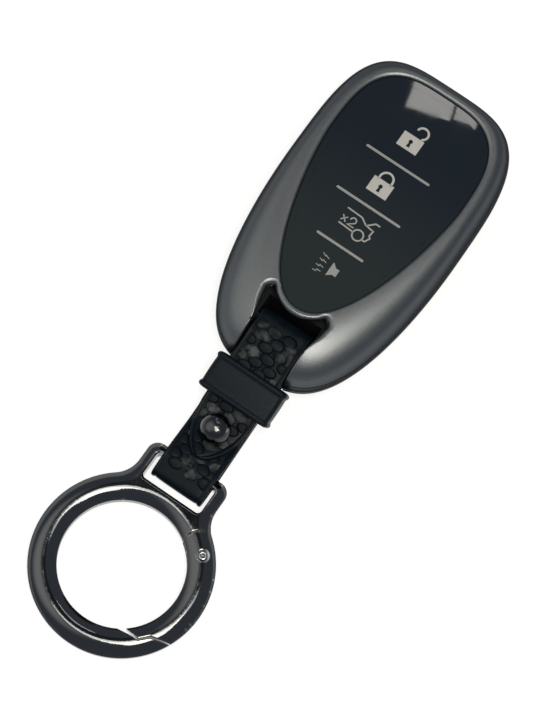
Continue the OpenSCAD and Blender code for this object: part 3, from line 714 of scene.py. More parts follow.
def panel_rim():
    """The rim round the keys with its bars, flush with the keys' edges."""
    rim = ((FIT, CASE_H - SHELL_T - 0.2), (FIT, PANEL_Z - 0.06), (FIT + 0.06, PANEL_Z),
           (RIM_W - 0.01, PANEL_Z), (RIM_W, PANEL_Z - 0.01), (RIM_W, PANEL_Z - 1))
    high = CASE_H - SHELL_T - FIT
    flange = ((-1, high - FLANGE_T), (-1, high), (0.84, high), (0.84, high - FLANGE_T))
    parts = [finish_mesh(loft_piece(name, egg_rings(PANEL_EGG, pairs), closed=True), 30)
             for name, pairs in (("rim", rim), ("flange", flange))]
    for y in BAR_Y:
        low, high = y - BAR_W / 2, y + BAR_W / 2
        a, b = (egg_half_width(PANEL_EGG, RIM_W - 0.1, edge) for edge in (low, high))
        parts.append(prism_piece("bar", [(-a, low), (a, low), (b, high), (-b, high)], PANEL_Z - 1, PANEL_Z))
    dress(joined("panel_rim", parts), GLOSS_PANEL, "front", "gloss_panel", "key_panel")


# Signs on the keys, in millimetres on the panel


def arc(centre, r, start, end, steps=20):
    turns = [math.radians(start + (end - start) * k / steps) for k in range(steps + 1)]
    return [(centre[0] + r * math.cos(t), centre[1] + r * math.sin(t)) for t in turns]


def stroke_outline(points, width, closed=False):
    """The outline of a line of a given width, with round ends."""
    p = np.asarray(points, float)
    if closed:
        p = p[:-1] if np.allclose(p[0], p[-1]) else p
        way = np.roll(p, -1, 0) - np.roll(p, 1, 0)
        way /= np.linalg.norm(way, axis=1)[:, None]
        side = np.column_stack([-way[:, 1], way[:, 0]]) * width / 2
        return [(p + side).tolist(), (p - side).tolist()]
    step = np.diff(p, axis=0)
    step /= np.linalg.norm(step, axis=1)[:, None]
    way = np.vstack([step[:1], step[:-1] + step[1:], step[-1:]])
    way /= np.linalg.norm(way, axis=1)[:, None]
    stretch = np.ones(len(p))
    stretch[1:-1] = 1 / np.clip((way[1:-1] * step[1:]).sum(1), 0.5, 1)
    side = np.column_stack([-way[:, 1], way[:, 0]]) * (width / 2 * stretch)[:, None]
    head, tail = (math.degrees(math.atan2(y, x)) for x, y in (way[-1], way[0]))
    ends = (arc(p[-1], width / 2, head + 90, head - 90, 8)[1:-1],
            arc(p[0], width / 2, tail + 270, tail + 90, 8)[1:-1])
    return [(p + side).tolist() + ends[0] + (p - side)[::-1].tolist() + ends[1]]


def sign_piece(name, outlines, number, ink, lift=0.012, thick=0.05):
    """A printed sign: flat outlines with holes, laid on a key's face, or on the rim without a number."""
    curve = bpy.data.curves.new(name, "CURVE")
    curve.dimensions, curve.fill_mode = "2D", "BOTH"
    for outline in outlines:
        spline = curve.splines.new("POLY")
        spline.points.add(len(outline) - 1)
        spline.points.foreach_set("co", [c for x, y in outline for c in (x * MM, y * MM, 0, 1)])
        spline.use_cyclic_u = True
    drawn = link(bpy.data.objects.new(name, curve))
    mesh = evaluated_mesh(drawn)
    bpy.data.objects.remove(drawn)
    bm = bmesh.new()
    bm.from_mesh(mesh)
    low, high = min(v.co.y for v in bm.verts), max(v.co.y for v in bm.verts)
    for y in np.arange(low + 0.4 * MM, high, 0.4 * MM):
        bmesh.ops.bisect_plane(bm, geom=bm.verts[:] + bm.edges[:] + bm.faces[:], plane_co=(0, y, 0),
                               plane_no=(0, 1, 0))
    made = bmesh.ops.extrude_face_region(bm, geom=bm.faces[:])["geom"]
    raised = {v for v in made if isinstance(v, bmesh.types.BMVert)}
    for v in bm.verts:
        base = PANEL_Z if number is None else dish_height(number, v.co.y / MM)
        v.co.z = (base + (lift if v in raised else lift - thick)) * MM
    bmesh.ops.recalc_face_normals(bm, faces=bm.faces)
    body = "front" if number is None else f"{KEYS[number]}_key"
    dress(from_bmesh(name, bm), ink, body, "gloss_panel")


def padlock(x, y, closed):
    """A padlock's outlines about the middle of its body: the body with its keyhole, and the shackle."""
    half_w, half_h, line, shackle_r = 2.6, 1.9, 0.5, 1.62
    body = [(x - half_w, y - half_h), (x + half_w, y - half_h), (x + half_w, y + half_h),
            (x - half_w, y + half_h)]
    hole_x = x - 0.05
    keyhole = arc((hole_x, y + 0.3), 0.5, -60, 240, 18) + [(hole_x - 0.42, y - 1.15),
                                                           (hole_x + 0.42, y - 1.15)]
    if closed:
        mid, foot = x + 0.1, y + half_h - 0.1
        bow = arc((mid, y + half_h + 0.55), shackle_r, 180, 0)
        shackle = [(mid - shackle_r, foot)] + bow + [(mid + shackle_r, foot)]
    else:
        shackle = arc((x + 1.15, y + half_h + 1.5), 1.4, 165, -62)
    return [body, keyhole], stroke_outline(shackle, line)


def add_signs():
    for number, place, closed in ((0, (-0.63, 21.93), False), (1, (-0.31, 9.09), True)):
        filled, shackle = padlock(*place, closed)
        sign_piece(f"{KEYS[number]}_sign", filled, number, SIGN_PRINT)
        sign_piece(f"{KEYS[number]}_sign_shackle", shackle, number, SIGN_PRINT)
    roof = [(-3.48, 1.1), (0.34, 0.95), (1.93, -0.1), (3.73, -0.36)]
    lid = [(2.15, -0.11), (3.68, 1.4), (4.69, 1.39)]
    rear = [(4.17, -0.36), (3.98, -1.76), (4.44, -2.23), (3.8, -3.51), (3.13, -3.51)]
    sill = [(-3.37, -2.87), (0.4, -3.08)]
    wheel = arc((1.78, -3.14), 1.3, 0, 360, 32)
    two = [(-1.55, -0.85)] + arc((-0.85, -0.85), 0.7, 170, -35, 12) + [(-1.6, -2.25), (-0.05, -2.25)]
    times = [[(-3.45, -0.85), (-2.35, -2.05)], [(-2.35, -0.85), (-3.45, -2.05)]]
    for part, points, width in (("1", roof, 0.35), ("2", lid, 0.35), ("3", rear, 0.35), ("4", sill, 0.35),
                                ("wheel", wheel, 0.35), ("two", two, 0.3), ("times_1", times[0], 0.28),
                                ("times_2", times[1], 0.28)):
        sign_piece(f"boot_sign_{part}", stroke_outline(points, width, closed=part == "wheel"), 2, DIM_PRINT)
    cone = [(0.98, -14.9), (1.25, -14.8), (2.1, -14.1), (3.1, -14.1), (3.1, -12.3), (2.1, -12.3),
            (1.25, -11.5), (0.98, -11.45)]
    sign_piece("horn_sign_cone", [cone], 3, FAINT_PRINT)
    for k, (y, tilt) in enumerate(((-11.1, -0.25), (-12.4, -0.1), (-13.8, 0.05), (-15.1, 0.25))):
        kink = 0.3 * tilt + 0.18
        bolt = [(-2.1, y - tilt), (-1.35, y - kink), (-1.3, y + kink), (-0.4, y + tilt)]
        sign_piece(f"horn_sign_bolt_{k + 1}", stroke_outline(bolt, 0.2), 3, FAINT_PRINT)
    for k, (y, half) in enumerate(zip(BAR_Y, (8.15, 8.2, 5.9))):
        sign_piece(f"bar_line_{k + 1}", stroke_outline([(-half, y), (half, y)], 0.6), None, FAINT_PRINT, 0.03,
                   0.08)


# Strap: one strip, swept along the same path as its solid


def unit(v):
    return v / np.linalg.norm(v)


def strap_corners():
    """The corners of the strap's inner surface, worked out from the pin, the stud and the ring's bar."""
    low_a, low_d = np.array([PIN_Y - 3.3, PIN_Z - LOOP_R]), np.array([BAIL_Y + 2.5, STRAP_T])
    low_dir = unit(low_d - low_a)
    low_up = np.array([low_dir[1], -low_dir[0]])
    stud_s = (low_a[0] - STUD_Y) / -low_dir[0]
    crest_z = RING_Z + 1 + 0.35
    valley, crest = low_a + stud_s * low_dir + LAYER_GAP * low_up, np.array([BAIL_Y + 0.65, crest_z])
    mid_dir = unit(crest - valley)
    mid_up = np.array([mid_dir[1], -mid_dir[0]])
    layer = STRAP_T + LAYER_GAP
    pinch = unit(low_up + mid_up) * layer / (unit(low_up + mid_up) @ low_up)
    return {
        "low_a": low_a, "low_d": low_d, "low_dir": low_dir, "crest_z": crest_z, "valley": valley,
        "crest": crest,
        "top_valley": valley + pinch, "top_tip": valley + mid_dir * 7.6 + layer * mid_up,
        "top_join": low_a + (stud_s - 4.6) * low_dir + (layer + LAYER_GAP) * low_up,
        "mid_end": low_a + (stud_s - 12) * low_dir + LAYER_GAP * low_up,
    }


def rounded_path(corners, step=0.4, turn_step=6):
    """Samples along a path of corners (y, z, bend radius): place and outward normal."""
    places = [np.array(c[:2], float) for c in corners]
    out = []
    for i, place in enumerate(places):
        if i in (0, len(places) - 1):
            way = unit(places[1] - place) if i == 0 else unit(place - places[i - 1])
            out.append((place, np.array([-way[1], way[0]])))
            continue
        a, b, r = unit(places[i - 1] - place), unit(places[i + 1] - place), corners[i][2]
        half = math.acos(np.clip(a @ b, -1, 1)) / 2
        middle = place + unit(a + b) * r / math.sin(half)
        side = math.copysign(1, a[0] * b[1] - a[1] * b[0])
        turn = math.pi - 2 * half
        start = place + a * r / math.tan(half) - middle
        first = math.atan2(start[1], start[0])
        steps = max(2, math.ceil(math.degrees(turn) / turn_step))
        for k in range(steps + 1):
            t = first - side * turn * k / steps
            ray = np.array([math.cos(t), math.sin(t)])
            out.append((middle + r * ray, side * ray))
    dense = [out[0]]
    for (p, n), (q, m) in zip(out, out[1:]):
        pieces = max(1, math.ceil(np.linalg.norm(q - p) / step))
        dense += [(p + (q - p) * k / pieces, unit(n + (m - n) * k / pieces)) for k in range(1, pieces + 1)]
    return dense


def strap_half_width(y, on_tongue, tip_y):
    half, tip_l = STRAP_W / 2, 13.5
    if not on_tongue or y > tip_y + tip_l:
        return half
    sine = min(max(1 - (y - tip_y) / tip_l, 0), 1)
    return max(half * (1 - sine * sine) ** 0.55, 0.02)


def strap_stations():
    """The whole strip: tongue tip, over the stud, round the pin, along the floor and back over the bar.

    Each station has its point, outward normal, half width and distance run from the tongue's tip.
    """
    c = strap_corners()
    bend, fold, tongue_l = 6, 0.69, 24
    loop_y, loop_top, loop_low, fold_y = PIN_Y + LOOP_R, PIN_Z + LOOP_R, PIN_Z - LOOP_R, BAIL_Y - 4.6
    samples = rounded_path([
        tuple(c["top_tip"]), (*c["top_valley"], bend), (*c["top_join"], bend), (PIN_Y - 3.9, loop_top, bend),
        (loop_y, loop_top, LOOP_R), (loop_y, loop_low, LOOP_R), (*c["low_a"], bend), (*c["low_d"], bend),
        (fold_y, STRAP_T, fold), (fold_y, STRAP_T + 2.03 * fold, fold), (BAIL_Y - 0.65, c["crest_z"], fold),
        (*c["crest"], 2 * fold), (*c["valley"], bend + STRAP_T + LAYER_GAP), tuple(c["mid_end"])])
    stations, run, last = [], 0.0, samples[0][0]
    for p, n in samples:
        run += float(np.linalg.norm(p - last))
        last = p
        stations.append((p, n, strap_half_width(p[0], run < tongue_l, c["top_tip"][0]), run))
    return stations


def strip_piece(name, section):
    """A strip of leather swept along the strap's path, from a half section of offsets in from the edge."""
    rings = []
    for p, out, half, _ in strap_stations():
        ring = [(max(half - inset, 0), h) for inset, h in section]
        rings.append([(x, *(p + h * out)) for x, h in [(-x, h) for x, h in ring] + ring[::-1]])
    return finish_mesh(loft_piece(name, rings), 50)


def random_value(tree, low, high, seed):
    """A random number, or a random vector where the limits are vectors, from a fixed seed."""
    vector = isinstance(low, tuple)
    first = 0 if vector else 2
    return node(tree, "FunctionNodeRandomValue", {first: low, first + 1: high, "Seed": seed},
                data_type="FLOAT_VECTOR" if vector else "FLOAT").outputs[0 if vector else 1]


def along_path(tree, path, length, attribute, kind="FLOAT"):
    """Reads an attribute of the path, and its place, at a length along it."""
    value = node(tree, "GeometryNodeInputNamedAttribute", {"Name": attribute}, data_type=kind)
    return node(tree, "GeometryNodeSampleCurve", {"Curves": path, "Value": value.outputs["Attribute"],
                                                  "Length": length}, data_type=kind, mode="LENGTH").outputs


def staggered_points(tree, come, columns=4):
    """A grid of points, every other row shifted, each a little off its place with a random share of painted
    sheen, stored as lit.
    """
    last_column, last_row = columns - 1.0, math_node(tree, "SUBTRACT", come["Rows"], 1.0)
    long_size = math_node(tree, "MULTIPLY", last_row, come["Along"])
    grid = node(tree, "GeometryNodeMeshGrid", {
        "Size X": math_node(tree, "MULTIPLY", come["Across"], last_column), "Size Y": long_size,
        "Vertices X": columns, "Vertices Y": come["Rows"]})
    row = math_node(tree, "MODULO", node(tree, "GeometryNodeInputIndex").outputs["Index"], come["Rows"])
    odd = math_node(tree, "SUBTRACT", math_node(tree, "MODULO", row, 2.0), 0.5)
    shift = math_node(tree, "MULTIPLY", odd, math_node(tree, "MULTIPLY", come["Across"], 0.5))
    stagger = node(tree, "ShaderNodeCombineXYZ",
                   {"X": shift, "Y": math_node(tree, "MULTIPLY", long_size, 0.5)})
    jitter = random_value(tree, (-0.00022, -0.0002, 0.0), (0.00022, 0.0002, 0.0), 5)
    placed = node(tree, "GeometryNodeSetPosition", {
        "Geometry": grid.outputs["Mesh"], "Offset": vector_node(tree, "ADD", stagger.outputs[0], jitter)})
    return node(tree, "GeometryNodeStoreNamedAttribute", {
        "Geometry": placed.outputs["Geometry"], "Name": "lit", "Value": random_value(tree, 0.0, 1.0, 11)},
        data_type="FLOAT", domain="POINT").outputs["Geometry"]


def split_position(tree):
    return node(tree, "ShaderNodeSeparateXYZ", {
        "Vector": node(tree, "GeometryNodeInputPosition").outputs[0]}).outputs


def build_scale_tree():
    """Nodes that lay staggered rows of low domes along the strap's path and bend them to it."""
    tree, come, go = new_group(
        "strap_scales",
        [("Path", "Geometry", None), ("Rows", "Int", 60), ("Across", "Float", 0.004),
         ("Along", "Float", 0.002), ("Dome", "Vector", (0.0016, 0.0011, 0.00012)),
         ("Level", "Float", 0.0012), ("Edge", "Float", 0.0012)],
        [("Scales", "Geometry")], "GeometryNodeTree")
    path = node(tree, "GeometryNodeMeshToCurve", {"Mesh": come["Path"]}).outputs["Curve"]
    points, spot = staggered_points(tree, come), split_position(tree)
    wall = math_node(tree, "SUBTRACT", along_path(tree, path, spot["Y"], "half")["Value"], come["Edge"])
    within = math_node(tree, "LESS_THAN", math_node(tree, "ABSOLUTE", spot["X"]), wall)
    free = math_node(tree, "LESS_THAN", along_path(tree, path, spot["Y"], "bare")["Value"], 0.5)
    dome_mesh = node(tree, "GeometryNodeMeshUVSphere",
                     {"Segments": 12, "Rings": 5, "Radius": 1.0}).outputs["Mesh"]
    size = vector_node(tree, "SCALE", come["Dome"], Scale=random_value(tree, 0.9, 1.06, 17))
    turn = node(tree, "ShaderNodeCombineXYZ", {"Z": random_value(tree, -0.16, 0.16, 23)}).outputs[0]
    laid = node(tree, "GeometryNodeInstanceOnPoints", {
        "Points": points, "Selection": math_node(tree, "MULTIPLY", within, free), "Instance": dome_mesh,
        "Rotation": turn, "Scale": size})
    real = node(tree, "GeometryNodeRealizeInstances", {"Geometry": laid.outputs["Instances"]})
    flat = split_position(tree)
    wall = math_node(tree, "SUBTRACT", along_path(tree, path, flat["Y"], "half")["Value"], come["Edge"])
    inward = math_node(tree, "MAXIMUM", math_node(tree, "MINIMUM", flat["X"], wall),
                       math_node(tree, "MULTIPLY", wall, -1.0))
    station = along_path(tree, path, flat["Y"], "out", "FLOAT_VECTOR")
    rise = vector_node(tree, "SCALE", station["Value"],
                       Scale=math_node(tree, "ADD", flat["Z"], come["Level"]))
    across = node(tree, "ShaderNodeCombineXYZ", {"X": inward}).outputs[0]
    final = vector_node(tree, "ADD", vector_node(tree, "ADD", station["Position"], rise), across)
    bent = node(tree, "GeometryNodeSetPosition", {"Geometry": real.outputs["Geometry"], "Position": final})
    soft = node(tree, "GeometryNodeSetShadeSmooth", {"Geometry": bent.outputs["Geometry"]})
    dressed = node(tree, "GeometryNodeSetMaterial",
                   {"Geometry": soft.outputs["Geometry"], "Material": SCALE_LEATHER})
    plug(tree, go, {"Scales": dressed.outputs["Geometry"]})
    return tree


def grown_from_nodes(obj, tree, **values):
    """Runs a node tree on an object and keeps the mesh that it makes."""
    mod = obj.modifiers.new(tree.name, "NODES")
    mod.node_group = tree
    for item in tree.interface.items_tree:
        if item.in_out == "INPUT" and item.name in values:
            mod[item.identifier] = values[item.name]
    result = evaluated_mesh(obj)
    obj.modifiers.clear()
    obj.data = result


def strap_scales():
    """The embossed scales, which stay clear of the folds at the ring's bar and at the pin."""
    stations = strap_stations()
    pitch, dome_h, low_y, high_y = 1.95, 0.1, BAIL_Y - 1.5, PIN_Y - 0.7
    mesh = bpy.data.meshes.new("strap_scales")
    mesh.from_pydata([(0, p[0] * MM, p[1] * MM) for p, _, _, _ in stations],
                     [(k, k + 1) for k in range(len(stations) - 1)], [])
    for name, kind, key, values in (
            ("out", "FLOAT_VECTOR", "vector", [c for _, n, _, _ in stations for c in (0, n[0], n[1])]),
            ("half", "FLOAT", "value", [half * MM for _, _, half, _ in stations]),
            ("bare", "FLOAT", "value", [float(not low_y < p[0] < high_y) for p, _, _, _ in stations])):
        mesh.attributes.new(name, kind, "POINT").data.foreach_set(key, values)
    obj = link(bpy.data.objects.new("strap_scales", mesh))
    grown_from_nodes(obj, build_scale_tree(), Rows=int(stations[-1][3] / pitch), Across=4.0 * MM,
                     Along=pitch * MM, Dome=(2.0 * MM, 1.34 * MM, dome_h * MM),
                     Level=(STRAP_T - dome_h * 1.1) * MM, Edge=1.2 * MM)
    dress(obj, SCALE_LEATHER, "strap", "scale_leather")


def add_strap():
    """The strap's face with its raised edge beads, its lining, its scales and its slit."""
    face = [(0.06, LINING_T), (0, LINING_T + 0.08)] + [(inset, STRAP_T - below) for inset, below in (
        (0, 0.3), (0.07, 0.13), (0.22, 0.03), (0.45, 0), (0.7, 0.02), (0.9, 0.12), (1.05, 0.24), (1.2, 0.24),
        (1.5, 0.16), (2.2, 0.12), (3.4, 0.09), (4.8, 0.08), (6.2, 0.08))]
    lining = [(0.1, 0.0), (0, 0.08), (0, LINING_T - 0.06), (0.08, LINING_T), (3.0, LINING_T)]
    dress(strip_piece("strap_leather", face), STRAP_LEATHER, "strap", "scale_leather", "strap_face")
    dress(strip_piece("strap_backing", lining), PLAIN_LEATHER, "strap", "lining_leather", "strap_lining")
    strap_scales()
    add_button_slit()


def add_button_slit():
    """The slit above the stud, with its two raised lips."""
    z, slope = strap_corners()["top_valley"][1] + STRAP_T + 0.02, 0.27
    turns = np.linspace(0, 2 * np.pi, 10, endpoint=False)
    for side, name in ((-1, "left"), (1, "right")):
        tube = [[(side * x + 0.13 * math.cos(t), STUD_Y + up, z + slope * up + 0.1 * math.sin(t))
                 for t in turns]
                for x, up in ((0.28, 5.6), (0.3, 4.6), (0.75, 3.6))]
        dress(finish_mesh(loft_piece(f"slit_lip_{name}", tube), 60), PLAIN_LEATHER, "strap", "scale_leather")


def add_stud():
    foot, neck_r = strap_corners()["valley"][1] + STRAP_T + 0.2, 1.6
    cut = foot + STRAP_T + 0.6
    low = -math.asin(STUD_SEAT)
    rim_r = STUD_R * math.cos(low)
    ball = [(STUD_R * math.cos(a), cut + STUD_SEAT * STUD_R + STUD_R * math.sin(a))
            for a in np.linspace(low + 0.06, math.pi / 2 - 0.02, 40)]
    profile = [(neck_r, foot), (neck_r, cut - 0.1), (neck_r + 0.15, cut), (rim_r - 0.3, cut),
               (rim_r - 0.08, cut + 0.03)]
    stud = finish_mesh(loft_piece("stud_ball", turned(profile + ball, (0, STUD_Y, 0), 72)), 40)
    dress(stud, STUD_NICKEL, "strap", "polished_nickel", "stud_head")


def rounded_rect(w, h, r, count=8):
    """Points round a rectangle with rounded corners, counterclockwise."""
    x, y = w / 2 - r, h / 2 - r
    return sum((arc(centre, r, first, first + 90, count) for centre, first in (
        ((x, y), 0), ((-x, y), 90), ((-x, -y), 180), ((x, -y), 270))), [])


def add_keeper():
    """The leather loop with a soft lip along both edges."""
    in_w, in_h, end = STRAP_W + KEEPER_PLAY, 2 * LOOP_R + 2 * STRAP_T - 0.4, KEEPER_L / 2
    out_w, out_h = in_w + 2 * KEEPER_SIDE_T, in_h + 2 * KEEPER_T
    profile = [(0, -0.75), (0.04, -0.4), (0.2, -0.05), (0.45, 0.16), (0.75, 0.24), (1.05, 0.18), (1.3, 0.02),
               (1.5, -0.07), (1.7, -0.08), (2.4, -0.05), (end, -0.02)]
    sides = [(out_w + 2 * d, out_h + 2 * d, 1.4, s - end) for s, d in profile]
    sides += [(w, h, r, -s) for w, h, r, s in sides[-2::-1]]
    sides += [(in_w + wider, in_h + wider, 0.6, s) for wider, s in (
        (0.2, end), (0, end - 0.15), (0, 0), (0, 0.15 - end), (0.2, -end))]
    rings = [[(x, y, s) for x, y in rounded_rect(w, h, r)] for w, h, r, s in sides]
    keeper = loft_piece("keeper_loop_leather", rings, closed=True)
    place = Matrix.Translation(Vector((0, PIN_Y - 14.9, PIN_Z - 3.25)) * MM)
    keeper.data.transform(place @ Matrix.Rotation(math.radians(90 + KEEPER_TILT), 4, "X"))
    dress(finish_mesh(keeper, 50), PLAIN_LEATHER, "keeper", "lining_leather", "keeper_loop")


# Ring and gate: reliefs over their outlines, in the ring's own plane


def outline_distance(points, outline):
    """Signed distance to a closed outline, positive inside."""
    p = points[:, None, :]
    a = np.asarray(outline, float)
    b = np.roll(a, -1, 0)
    ab = b - a
    t = np.clip(((p - a) * ab).sum(2) / (ab * ab).sum(1), 0, 1)
    gap = np.linalg.norm(p - (a + t[:, :, None] * ab), axis=2).min(1)
    x, y = points[:, 0:1], points[:, 1:2]
    crosses = (a[:, 1] > y) != (b[:, 1] > y)
    with np.errstate(divide="ignore", invalid="ignore"):
        at = a[:, 0] + (y - a[:, 1]) / (b[:, 1] - a[:, 1]) * ab[:, 0]
    inside = (crosses & (x < at)).sum(1) % 2 == 1
    return np.where(inside, gap, -gap)


def circle_distance(points, centre, r):
    return r - np.linalg.norm(points - centre, axis=1)


def soft_min(values, k):
    return -k * np.log(sum(np.exp(-v / k) for v in values))


def bail_outline():
    """The outer outline: round the ring, up a fillet into the bail's arm, and over its top."""
    out, fillet, corner, top, reach = 10.3, 7, 2.6, BAIL_Y + BAIL_TOP - RING_Y, RING_OUT - 0.003
    fx = out + fillet
    fy = math.sqrt((reach + fillet) ** 2 - fx * fx)
    first = math.degrees(math.atan2(fy, fx))
    right = arc((0, 0), reach, -90, first, 90) + arc((fx, fy), fillet, 180 + first, 180, 10)[1:]
    right += arc((out - corner, top - corner), corner, 0, 90, 10)
    return right + [(-x, y) for x, y in reversed(right[1:])]


def window_outline():
    low, high = BAIL_Y - BAIL_REACH - RING_Y, BAIL_Y - 1 - RING_Y
    return [(x, y + (low + high) / 2) for x, y in rounded_rect(15.4, high - low, 1.0)]


OUTER, WINDOW = bail_outline(), window_outline()
NOSE = ((1.2, -0.345), (0.893, -0.413), (0.694, -0.471), (0.602, -0.563), (0.427, -0.539), (0.2, -0.1))
STEP = ((1.2, -0.358), (0.893, -0.425), (0.7, -0.484), (0.61, -0.573), (0.495, -0.578), (0.35, -0.592),
        (0.2, -0.1))


def gate_outline(shares):
    """Round the gate from its pivot to its nose, whose corners are shares of the ring's radius."""
    nose = [(RING_OUT * x, RING_OUT * y) for x, y in shares]
    return [tuple(1.3 * PIVOT), (1.3 * RING_OUT, 0)] + nose + [tuple(0.3 * PIVOT)]


def slope_share(distance, width, power=2.0):
    """Rises from 0 to 1 over a width, steeply at first."""
    return 1 - np.maximum(1 - np.maximum(distance, 0) / width, 0) ** power


def relief_height(points, cut):
    """Half the metal's height: a slope in from the outside, one from the hole and soft window edges."""
    outer = 0.2 + 0.84 * slope_share(outline_distance(points, OUTER), 3.7)
    inner = 0.4 + 0.64 * slope_share(-circle_distance(points, 0, RING_R), 3.4, 1.9)
    window = 0.72 + 0.32 * slope_share(-outline_distance(points, WINDOW), 0.9)
    edge = 0.84 + 0.2 * slope_share(cut, 0.3)
    return RING_Z * np.minimum(soft_min([outer, inner, window, edge], 0.035) + 0.01, 1.0)


def metal_sides(cut):
    """The top and bottom of the ring's metal as functions of points, with soft edges along a cut."""
    return lambda p: RING_Z + relief_height(p, cut(p)), lambda p: RING_Z - relief_height(p, cut(p))


def slope_of(f, p, tiny=0.02):
    return np.column_stack([f(p + [tiny, 0]) - f(p - [tiny, 0]),
                            f(p + [0, tiny]) - f(p - [0, tiny])]) / (2 * tiny)


def relief_piece(name, inside, top, bottom, box, step=0.2):
    """A flat solid over the places where inside is positive, between two height functions."""
    xs, ys = np.arange(box[0], box[1] + step, step), np.arange(box[2], box[3] + step, step)
    gx, gy = np.meshgrid(xs, ys)
    grid, w = np.column_stack([gx.ravel(), gy.ravel()]), len(xs)
    cells = np.array([[r * w + c, r * w + c + 1, (r + 1) * w + c + 1, (r + 1) * w + c]
                      for r in range(len(ys) - 1) for c in range(w - 1)])
    kept = cells[inside(grid[cells].mean(1)) > 0]
    used = np.unique(kept)
    index = {v: k for k, v in enumerate(used)}
    quads = [[index[v] for v in quad] for quad in kept]
    plan, n = grid[used], len(used)
    edges = [(quad[i], quad[(i + 1) % 4]) for quad in quads for i in range(4)]
    both_ways = set(edges)
    border = [(i, j) for i, j in edges if (j, i) not in both_ways]
    rim = sorted({v for pair in border for v in pair})
    for _ in range(4):
        p = plan[rim]
        s, g = inside(p), slope_of(inside, p)
        move = -(s / np.maximum((g * g).sum(1), 0.3))[:, None] * g
        plan[rim] = p + np.clip(move, -step, step)
    sides = [(top(plan), -slope_of(top, plan), 1), (bottom(plan), slope_of(bottom, plan), -1)]
    out = -slope_of(inside, plan[rim])
    out /= np.maximum(np.linalg.norm(out, axis=1), 1e-6)[:, None]
    at, m = {v: k for k, v in enumerate(rim)}, len(rim)
    points = np.vstack([np.column_stack([plan, z]) for z, _, _ in sides]
                       + [np.column_stack([plan[rim], z[rim]]) for z, _, _ in sides])
    normals = np.vstack([np.column_stack([lean, np.full(n, up)]) for _, lean, up in sides]
                        + [np.column_stack([out, np.zeros(m)])] * 2)
    normals /= np.linalg.norm(normals, axis=1)[:, None]
    faces = [tuple(q) for q in quads] + [tuple(n + v for v in reversed(q)) for q in quads]
    faces += [(2 * n + m + at[i], 2 * n + m + at[j], 2 * n + at[j], 2 * n + at[i]) for i, j in border]
    points[:, 1] += RING_Y
    piece = mesh_piece(name, points, faces)
    piece.data.normals_split_custom_set_from_vertices([tuple(v) for v in normals])
    return piece


def bar_gap(points):
    """How far points lie inside the metal, seen from above."""
    return np.minimum.reduce([outline_distance(points, OUTER), -circle_distance(points, 0, RING_R),
                              -outline_distance(points, WINDOW)])


def dress_ring(obj, body, *replaced):
    dress(obj, BLACK_NICKEL, body, "polished_nickel", *replaced)


def ring_body():
    """The open ring with its bail, the bail's bar and the flat tongue that the gate turns about."""
    step, knuckle = gate_outline(STEP), KNUCKLE_R + RUN

    def cut(p):
        return -np.maximum(outline_distance(p, step), circle_distance(p, PIVOT, knuckle))

    room = RING_OUT + 0.5
    body = relief_piece("ring_body_metal", lambda p: np.minimum(bar_gap(p), cut(p)), *metal_sides(cut),
                        (-room, room, -room, BAIL_Y + 1.6 - RING_Y))
    dress_ring(body, "ring", "ring_body")
    bar = rod_rings(BAIL_Y, RING_Z, ((-8.2, 0.95), (-7.2, 1.0), (7.2, 1.0), (8.2, 0.95)), 40)
    dress_ring(finish_mesh(loft_piece("bail_bar", bar), 40), "ring")
    half, bore_r, tongue_r = TONGUE_HALF, 1.1, 2.3
    profile = [(bore_r, -half), (tongue_r - 0.1, -half), (tongue_r, 0.1 - half), (tongue_r, half - 0.1),
               (tongue_r - 0.1, half), (bore_r, half)]
    tongue = finish_mesh(loft_piece("pivot_tongue", turned(profile, PIVOT_PLACE, 48)), 40)
    arm = box_piece("tongue_arm", (1.3, -1.8, -half), (KNUCKLE_R + 1.5, 1.8, half))
    pivot = Matrix.Translation(Vector(PIVOT_PLACE) * MM)
    arm.data.transform(pivot @ Matrix.Rotation(math.radians(138), 4, "Z"))
    dress_ring(joined("pivot_tongue", [tongue, arm]), "ring")


def ring_gate():
    """The gate: a core as high as the tongue's slot, with a plate above and one below."""
    nose, slot_h, pin_r = gate_outline(NOSE), TONGUE_HALF + RUN, 1.03

    def cut(p):
        return np.maximum(outline_distance(p, nose), circle_distance(p, PIVOT, KNUCKLE_R))

    def beyond(r):
        return lambda p: np.minimum(np.minimum(bar_gap(p), cut(p)), -circle_distance(p, PIVOT, r))

    top, bottom = metal_sides(cut)

    def slot_top(p):
        return np.minimum(RING_Z + slot_h, top(p) - 0.05)

    def slot_bottom(p):
        return np.maximum(RING_Z - slot_h, bottom(p) + 0.05)

    box = (7, RING_OUT + 0.5, -13.5, 17.5)
    dress_ring(relief_piece("gate_arm", beyond(KNUCKLE_R + RUN), slot_top, slot_bottom, box), "gate",
               "ring_gate")
    dress_ring(relief_piece("gate_upper_plate", beyond(pin_r), top, slot_top, box), "gate")
    dress_ring(relief_piece("gate_lower_plate", beyond(pin_r), slot_bottom, bottom, box), "gate")


def gate_rivet():
    """A hollow rivet with a rolled head at both ends."""
    head = [(0.44, 0.0), (0.44, 2.2), (0.52, 2.42), (0.7, 2.5), (0.88, 2.42), (1.0, 2.3), (1.1, 2.36),
            (1.3, 2.56), (1.45, 2.6), (1.58, 2.5), (1.6, 2.3), (1.0, 2.25), (1.0, 0.0)]
    rings = turned(head + [(r, -z) for r, z in reversed(head[1:-1])], PIVOT_PLACE, 48)
    rivet = finish_mesh(loft_piece("gate_rivet", rings, closed=True), 50)
    dress(rivet, RIVET_NICKEL, "ring", "polished_nickel", "gate_pin")


# Camera, floor and light


